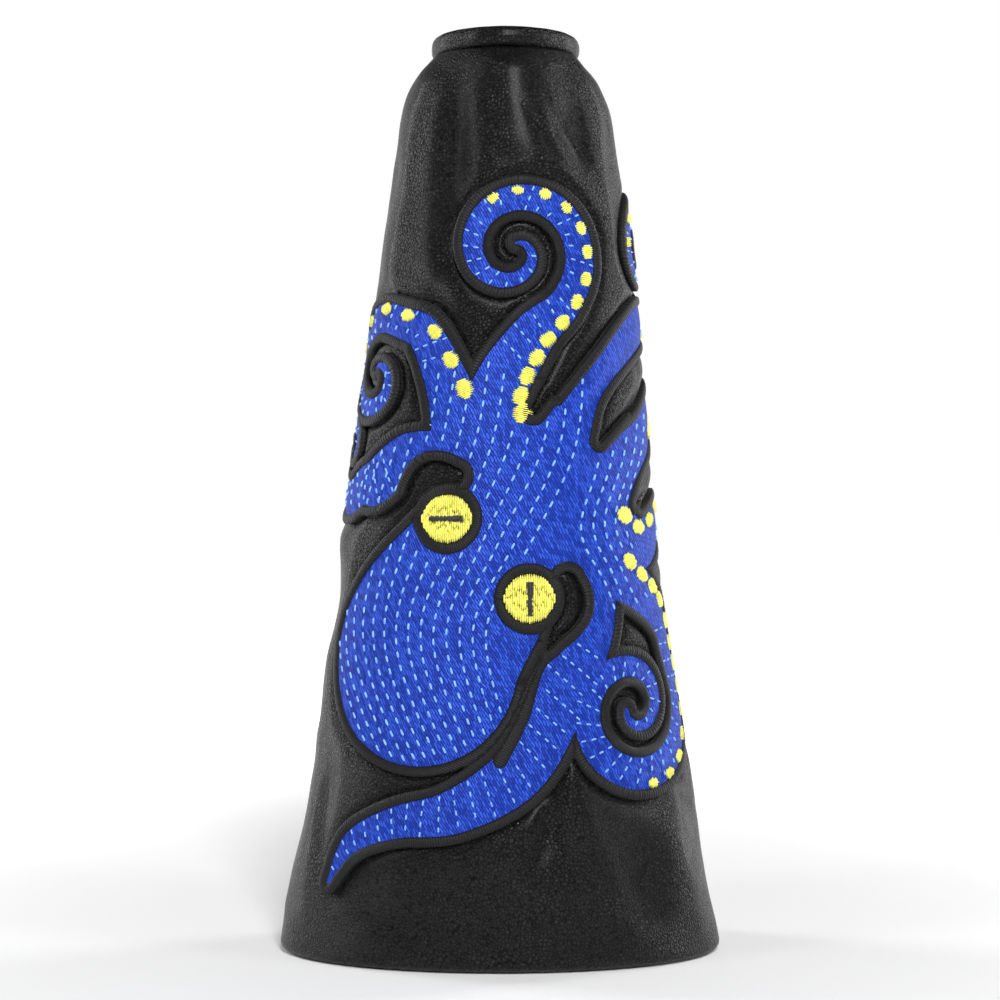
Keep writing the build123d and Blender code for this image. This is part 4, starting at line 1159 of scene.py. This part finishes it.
flap_leather = sheet_mesh(
    "flap_leather", FLAP_U, FLAP_V, lambda u, v: flap_depth(u, v) - 0.5,
    lambda u, v: form(u, v, flap_rise(u, v)),
    lambda u, v: form(u, v, flap_rise(u, v) - LEATHER + 0.05), panel_uv,
)
flap_leather.data.materials.append(BLACK_LEATHER)
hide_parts("flap_shell", "flap_hinge_strip")
HINGE_Z = (FLAP_LOW + FLAP_HIGH) / 2
HINGE_TURN = back_turn(np.array(hinge_x(HINGE_Z)), np.array(HINGE_Z), HINGE_GROWTH)
hinge_place, hinge_level = frame_on(HINGE_TURN, HINGE_Z, FLAP_OUT)[:2]


def closure_blend(piece):
    """Bakes a piece's transform into its mesh."""
    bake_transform(piece)


closure_blend(flap_leather)

flap_lining = sheet_mesh(
    "flap_lining_cloth", FLAP_U, FLAP_V,
    lambda u, v: np.minimum(flap_depth(u, v) - 0.7, hinge_x(v) - 0.9 - back_x(u, v, 2.5)),
    lambda u, v: form(u, v, FLAP_MID - 0.12),
    lambda u, v: form(u, v, FLAP_IN + 0.05 * soft_noise(u * 0.6, v, 6.0, 2)), panel_uv,
)
settle(flap_lining, "closure_flap", "plush", FLAP_CLOTH, "flap_lining")

# Distance in from the flap's edge, and growth.
FLAP_PROFILE = [
    (2.6, 4.15), (2.45, 4.45), (1.6, 4.6), (0.7, 4.55), (0.15, 4.25), (0.0, 3.6), (0.0, 2.6), (0.15, 2.0),
    (0.7, 1.7), (1.6, 1.65), (2.45, 1.75), (2.6, 2.05), (2.4, 2.15), (0.8, 2.15), (0.45, 2.6), (0.45, 3.6),
    (0.8, 4.05), (2.4, 4.1),
]


def even_path(path, pitch):
    """An (x, z) path resampled at an even step."""
    walked = np.concatenate([[0], np.cumsum(np.hypot(*np.diff(path, axis=0).T))])
    at = np.linspace(0, walked[-1], int(walked[-1] / pitch) + 1)
    return np.stack([np.interp(at, walked, path[:, 0]), np.interp(at, walked, path[:, 1])], axis=1)


edge_path = even_path(FREE_EDGE, 1.0)
edge_way = headings(edge_path)
edge_in = np.stack([-edge_way[:, 1], edge_way[:, 0]], axis=1)
if (edge_in[len(edge_in) // 2] @ (np.array([0.0, 45.0]) - edge_path[len(edge_in) // 2])) < 0:
    edge_in = -edge_in
flap_runs = []
for inset, growth in FLAP_PROFILE:
    path_x, path_z = (edge_path + edge_in * inset).T
    flap_runs.append(form(back_turn(path_x, path_z, growth), path_z, growth))
flap_binding = sweep("flap_binding_strip", np.stack(flap_runs, axis=1))
settle(flap_binding, "closure_flap", "binding", SMOOTH_LEATHER, "flap_binding")


def back_stitch_rows(path, growth, long=2.3, pitch=3.2, width=0.55):
    """Stitches along an (x, z) path on the back."""
    path = even_path(path, pitch)
    rows = []
    for (x, z), (wx, wz) in zip(path, headings(path)):
        ends = []
        for reach in (-long / 2, long / 2):
            px, pz = np.array(x + wx * reach), np.array(max(z + wz * reach, 0.6))
            ends.append(form(back_turn(px, pz, growth), pz, growth))
        normal = frame_on(back_turn(np.array(x), np.array(z), growth), z, growth)[3][0]
        rows.append((ends[0], ends[1], normal, width))
    return rows


slit_stitches = threads("slit_stitches", back_stitch_rows(slit_path(2.1, low=3.0), 0.5), rise=0.22)
settle(slit_stitches, "sleeve", "thread_black", BLACK_THREAD, "slit_stitching")
flap_stitches = threads("flap_stitches", back_stitch_rows((edge_path + edge_in * 1.7)[3:-3], 4.52), rise=0.22)
settle(flap_stitches, "closure_flap", "thread_black", BLACK_THREAD, "flap_stitching")
strip_line = np.array([(hinge_x(z) + 3.3, z) for z in np.arange(7.0, 91.0, 1.0)])
strip_stitches = threads("hinge_strip_stitches", back_stitch_rows(strip_line, 1.75), rise=0.35, sink=0.5)
settle(strip_stitches, "sleeve", "thread_black", BLACK_THREAD)

# ---------------------------------------------------------------- embroidery


def panel_point(s, z, growth):
    return form(turn_of(s, z), z, growth)


def pillow(s, z):
    """The embroidered limbs swell a little between their outlines."""
    depth = np.clip(on_panel(FILL_FIELD, s, z), 0, 20)
    return 0.25 + 0.40 * (1 - np.exp(-depth / 2.5)) + 0.08 * soft_noise(s, z, 6.0, 3)


def fill_top(s, z):
    return panel_point(s, z, pillow(s, z))


fill = sheet_mesh(
    "blue_filling", np.arange(-62.0, 62.0, 0.42), np.arange(8.0, 148.0, 0.42),
    lambda s, z: on_panel(FILL_FIELD, s, z) + 0.15,
    fill_top, lambda s, z: panel_point(s, z, -0.5), lambda s, z: (s, z),
)
settle(fill, "sleeve", "thread_blue", BLUE_FILL, "embroidery_fill")


def satin_height(s, z):
    edge = on_panel(LIMB_EDGE, s, z)
    ring = on_panel(EYE_OUT, s, z) - EYE_RADIUS
    line = bead(-edge - SATIN / 2 + 0.15, SATIN / 2 + 0.25) * (ring > -0.3)
    circle = bead(ring - EYE_RING / 2, EYE_RING / 2 + 0.3)
    return np.maximum(line, circle)


def satin_top(s, z):
    strand = 0.03 * np.sin(on_panel(SATIN_ALONG, s, z) * 2 * math.pi / 0.9)
    return panel_point(s, z, 0.05 + (0.70 + strand) * satin_height(s, z) ** 0.7)


satin = sheet_mesh(
    "black_satin_outline", np.arange(-64.0, 64.0, 0.3), np.arange(6.0, 150.0, 0.3),
    lambda s, z: on_panel(SATIN_FIELD, s, z),
    satin_top, lambda s, z: panel_point(s, z, -0.7), lambda s, z: (s, z),
    {"along": lambda s, z: on_panel(SATIN_ALONG, s, z)},
)
settle(satin, "sleeve", "thread_black", BLACK_SATIN, "embroidery_outline", "eye_rings")


def surface_row(s0, z0, s1, z1, growth, width):
    """A stitch between two panel points that rests on the fill."""
    place, _, _, normal = frame_on(
        turn_of(np.array([s0, s1, (s0 + s1) / 2]), np.array([z0, z1, (z0 + z1) / 2])),
        np.array([z0, z1, (z0 + z1) / 2]), growth,
    )
    return place[0], place[1], normal[2], width


def disc_rows(s, z, radius, pitch, slant, growth, jitter, longest=9.0):
    """Parallel stitches that fill a round spot, with uneven ends."""
    rows = []
    angle = math.radians(slant)
    way = np.array([math.cos(angle), math.sin(angle)])
    over = np.array([-way[1], way[0]])
    for offset in np.arange(-radius + pitch / 2, radius, pitch):
        half = math.sqrt(max(radius**2 - offset**2, 0.0)) + RNG.uniform(-0.2, 1.0) * jitter
        count = max(1, math.ceil(2 * half / longest))
        shift = RNG.uniform(-0.3, 0.3) * (2 * half / count)
        cuts = np.linspace(-half, half, count + 1)
        if count > 1:
            cuts[1:-1] += shift
        for low, high in zip(cuts, cuts[1:]):
            start = np.array([s, z]) + over * offset + way * (low - 0.35 * (low > -half))
            end = np.array([s, z]) + over * offset + way * (high + 0.35 * (high < half))
            rows.append(surface_row(*start, *end, growth + RNG.uniform(-0.04, 0.04), pitch * 1.25))
    return rows


eye_rows, pupil_rows = [], []
for s, z, slant in EYES:
    eye_rows += disc_rows(s, z, EYE_RADIUS - 0.05, 0.40, 90.0, 0.62, 0.25, longest=3.6)
    angle = math.radians(slant)
    way = np.array([math.cos(angle), math.sin(angle)])
    over = np.array([-math.sin(angle), math.cos(angle)])
    for reach in np.arange(-2.9, 2.91, 0.26):
        half = 0.50 + 0.22 * (reach > 0) * (reach / 2.7) + RNG.uniform(-0.06, 0.2)
        middle = np.array([s, z]) + way * reach
        pupil_rows.append(surface_row(*(middle - over * half), *(middle + over * half), 0.98, 0.4))
eyes = threads("yellow_eyes", eye_rows, rise=0.32, sink=0.5)
settle(eyes, "sleeve", "thread_yellow", YELLOW_THREAD, "eyes")
pupils = threads("black_pupils", pupil_rows, rise=0.28, sink=0.4)
settle(pupils, "sleeve", "thread_black", BLACK_THREAD, "pupils")


def limb_places():
    """Every sucker as (sideways, height, radius, slant)."""
    places = []
    for name, (side, start, end, count) in SUCKER_ROWS.items():
        path, _ = smooth_path(LIMBS[name])
        heading = headings(path)
        for step in range(count):
            share = step / (count - 1)
            k = int(round((start + (end - start) * share) * (len(path) - 1)))
            s, z, half = path[k]
            radius = min(SUCKER_LARGE + (SUCKER_SMALL - SUCKER_LARGE) * share, 0.42 * half)
            reach = side * (half - radius - SUCKER_MARGIN)
            way = heading[k]
            slant = math.degrees(math.atan2(way[1], way[0]))
            places.append((s - reach * way[1], z + reach * way[0], radius, slant))
    return places


SUCKERS = limb_places()
sucker_rows = []
for s, z, radius, slant in SUCKERS:
    if float(on_panel(PANEL_EDGE, s, z)) > radius and abs(s) < 60:
        sucker_rows += disc_rows(s, z, radius, 0.36, slant + 90.0 + RNG.uniform(-15, 15), 0.62, 0.42)
suckers = threads("yellow_suckers", sucker_rows, rise=0.34, sink=0.5)
settle(suckers, "sleeve", "thread_yellow", YELLOW_THREAD, "suckers")

# ---------------------------------------------------------------- running stitches
FAMILIES = [
    ([(-24.0, 112.0), (-27.0, 95.0), (-33.0, 75.0), (-33.5, 55.0), (-21.0, 31.0)],
     [(16.0, 106.0), (14.5, 92.0), (7.0, 76.0), (-1.0, 60.0), (3.5, 38.0)], 14),
    ([(18.5, 102.0), (16.5, 90.0), (13.5, 78.0), (19.0, 68.0), (22.0, 60.0)],
     [(36.0, 118.0), (32.0, 96.0), (25.5, 82.0), (28.0, 74.0), (34.0, 68.0)], 5),
]
# Where along a limb its cross rows start and end, and the gap between them.
RUNG_LIMBS = {
    "front_foot": (0.16, 0.97, 3.4), "right_foot": (0.24, 0.98, 3.6), "crown": (0.22, 0.96, 3.3),
    "left_high": (0.26, 0.95, 3.2), "left_low": (0.24, 0.95, 3.2), "right_high": (0.45, 0.95, 3.4),
    "right_mid": (0.40, 0.95, 3.4), "right_low": (0.40, 0.95, 3.4),
}
RUNG_SLANT = 0.25
STITCH_LONG, STITCH_PITCH, STITCH_WIDE = 1.6, 2.3, 0.5
RUNG_LONG, RUNG_PITCH, RUNG_WIDE = 1.25, 1.85, 0.42


def room_for(s, z):
    """How clear a panel point is of the outlines and of the suckers."""
    room = float(on_panel(FILL_FIELD, s, z))
    for sucker_s, sucker_z, radius, _ in SUCKERS:
        room = min(room, math.hypot(s - sucker_s, z - sucker_z) - radius - 0.1)
    return room


def add_run(rows, path, walked, long, pitch, width, start):
    """Stitches at an even pitch along a path, where they lie on the fill."""
    at = start
    while at + long < walked[-1]:
        ends = [[np.interp(at + reach, walked, path[:, k]) for k in (0, 1)] for reach in (0.0, long)]
        middle = [(ends[0][k] + ends[1][k]) / 2 for k in (0, 1)]
        if min(room_for(*ends[0]), room_for(*ends[1])) > 0.12:
            lift = float(pillow(*map(np.array, middle)))
            rows.append(surface_row(*ends[0], *ends[1], lift + 0.02, width))
        at += pitch * (1 + RNG.uniform(-0.05, 0.05))


run_rows = []
for left, right, count in FAMILIES:
    for line in range(count):
        share = (line + 0.5) / count
        knots = [tuple(a[k] + (b[k] - a[k]) * share for k in (0, 1)) for a, b in zip(left, right)]
        path, walked = smooth_path(knots)
        first = RNG.uniform(0, STITCH_PITCH)
        add_run(run_rows, path, walked, STITCH_LONG, STITCH_PITCH, STITCH_WIDE, first)
for name, (start, end, gap) in RUNG_LIMBS.items():
    path, walked = smooth_path(LIMBS[name])
    heading = headings(path)
    at = start * walked[-1]
    while at < end * walked[-1]:
        k = int(at / walked[-1] * (len(path) - 1))
        s, z, half = path[k]
        way = heading[k]
        across = np.array([-way[1], way[0]])
        knots = [
            (s + across[0] * half * t + way[0] * RUNG_SLANT * t * half,
             z + across[1] * half * t + way[1] * RUNG_SLANT * t * half)
            for t in (-0.97, -0.4, 0.2, 0.97)
        ]
        rung, along = smooth_path(knots, step=0.2)
        add_run(run_rows, rung, along, RUNG_LONG, RUNG_PITCH, RUNG_WIDE, 0.25)
        at += gap * (0.55 + 0.45 * half / 5.0)
stitches = threads("light_blue_running_stitches", run_rows, rise=0.24, sink=0.3)
settle(stitches, "sleeve", "thread_light_blue", LIGHT_THREAD, "running_stitches")

# ---------------------------------------------------------------- stage, light and camera


def sweep_floor(name):
    """A pale studio floor with a painted glow: it emits more and more light away from the object and towards
    the rear, brightening into the white surroundings.
    """
    shader = Shader(name)
    off = shader.node("ShaderNodeVectorMath", {"operation": "LENGTH"})
    shader.put(off.inputs[0], shader.place())
    fade = shader.node("ShaderNodeMapRange", {"interpolation_type": "SMOOTHSTEP"}, Value=off.outputs["Value"],
                       From_Min=0.04, From_Max=0.45, To_Min=0.0, To_Max=0.95)
    split = shader.node("ShaderNodeSeparateXYZ", Vector=shader.place())
    rear = shader.node("ShaderNodeMapRange", {"interpolation_type": "SMOOTHSTEP"}, Value=split.outputs["Y"],
                       From_Min=-0.25, From_Max=0.06, To_Min=0.0, To_Max=1.0)
    shader.set(Base_Color=(0.88, 0.88, 0.88, 1.0), Roughness=0.8, Specular_IOR_Level=0.2)
    glow = shader.math("MULTIPLY", fade.outputs[0], rear.outputs[0])
    shader.set(Emission_Color=(1.0, 1.0, 1.0, 1.0), Emission_Strength=glow)
    return shader.material


FLOOR = 4000
floor = mesh_piece("floor", [(-FLOOR, -FLOOR, 0), (FLOOR, -FLOOR, 0), (FLOOR, FLOOR, 0), (-FLOOR, FLOOR, 0)],
                   [(0, 1, 2, 3)])
floor.data.materials.append(sweep_floor("pale_floor"))
floor.location.z = -0.0002

world = bpy.data.worlds.new("studio")
bpy.context.scene.world = world
world.use_nodes = True
sky = world.node_tree
way = sky.nodes.new("ShaderNodeTexCoord")
parts = sky.nodes.new("ShaderNodeSeparateXYZ")
sky.links.new(way.outputs["Generated"], parts.inputs[0])


def sky_ramp(value, limits):
    """A smooth ramp of a direction's coordinate. The limits are from low, from high, to low and to high."""
    ramp = sky.nodes.new("ShaderNodeMapRange")
    ramp.interpolation_type = "SMOOTHSTEP"
    sky.links.new(value, ramp.inputs["Value"])
    for key, limit in zip(("From Min", "From Max", "To Min", "To Max"), limits):
        ramp.inputs[key].default_value = limit
    return ramp.outputs[0]


band = sky_ramp(parts.outputs["Z"], (0.50, 0.26, 0.0, 1.0))
rear = sky_ramp(parts.outputs["Y"], (-0.2, 0.85, 0.16, 1.0))
both = sky.nodes.new("ShaderNodeMath")
both.operation = "MULTIPLY"
sky.links.new(band, both.inputs[0])
sky.links.new(rear, both.inputs[1])
sky.nodes["Background"].inputs[0].default_value = (1.0, 1.0, 1.0, 1.0)
sky.links.new(both.outputs[0], sky.nodes["Background"].inputs[1])


def softbox(name, place, target, size, power):
    light = bpy.data.lights.new(name, "AREA")
    light.shape = "RECTANGLE"
    light.size, light.size_y = size
    light.energy = power
    lamp = bpy.data.objects.new(name, light)
    bpy.context.scene.collection.objects.link(lamp)
    lamp.location = place
    lamp.rotation_euler = (Vector(target) - Vector(place)).to_track_quat("-Z", "Y").to_euler()
    return lamp


softbox("front_high", (0.10, -0.62, 0.50), (0, 0, 0.10), (0.20, 0.44), 6.2)
softbox("key_left", (-0.60, -0.38, 0.36), (0, 0, 0.09), (0.14, 0.5), 1.0)
softbox("key_right", (0.62, -0.34, 0.34), (0, 0, 0.09), (0.14, 0.5), 1.0)
softbox("rim_left", (-0.46, 0.20, 0.22), (0, 0, 0.09), (0.12, 0.5), 1.5)
softbox("rim_right", (0.46, 0.24, 0.22), (0, 0, 0.09), (0.12, 0.5), 1.5)

CAMERA_HEIGHT, CAMERA_DISTANCE, LENS = 0.0837, 0.400, 76.8
camera_data = bpy.data.cameras.new("camera")
camera_data.lens, camera_data.sensor_width = LENS, 36.0
camera_data.clip_start = 0.01
camera = bpy.data.objects.new("camera", camera_data)
bpy.context.scene.collection.objects.link(camera)
camera.location = (0.0, AXIS_Y * MM - CAMERA_DISTANCE, CAMERA_HEIGHT)
camera.rotation_euler = (math.radians(90.0), 0.0, 0.0)
bpy.context.scene.camera = camera
bpy.context.scene.view_settings.view_transform = "Standard"
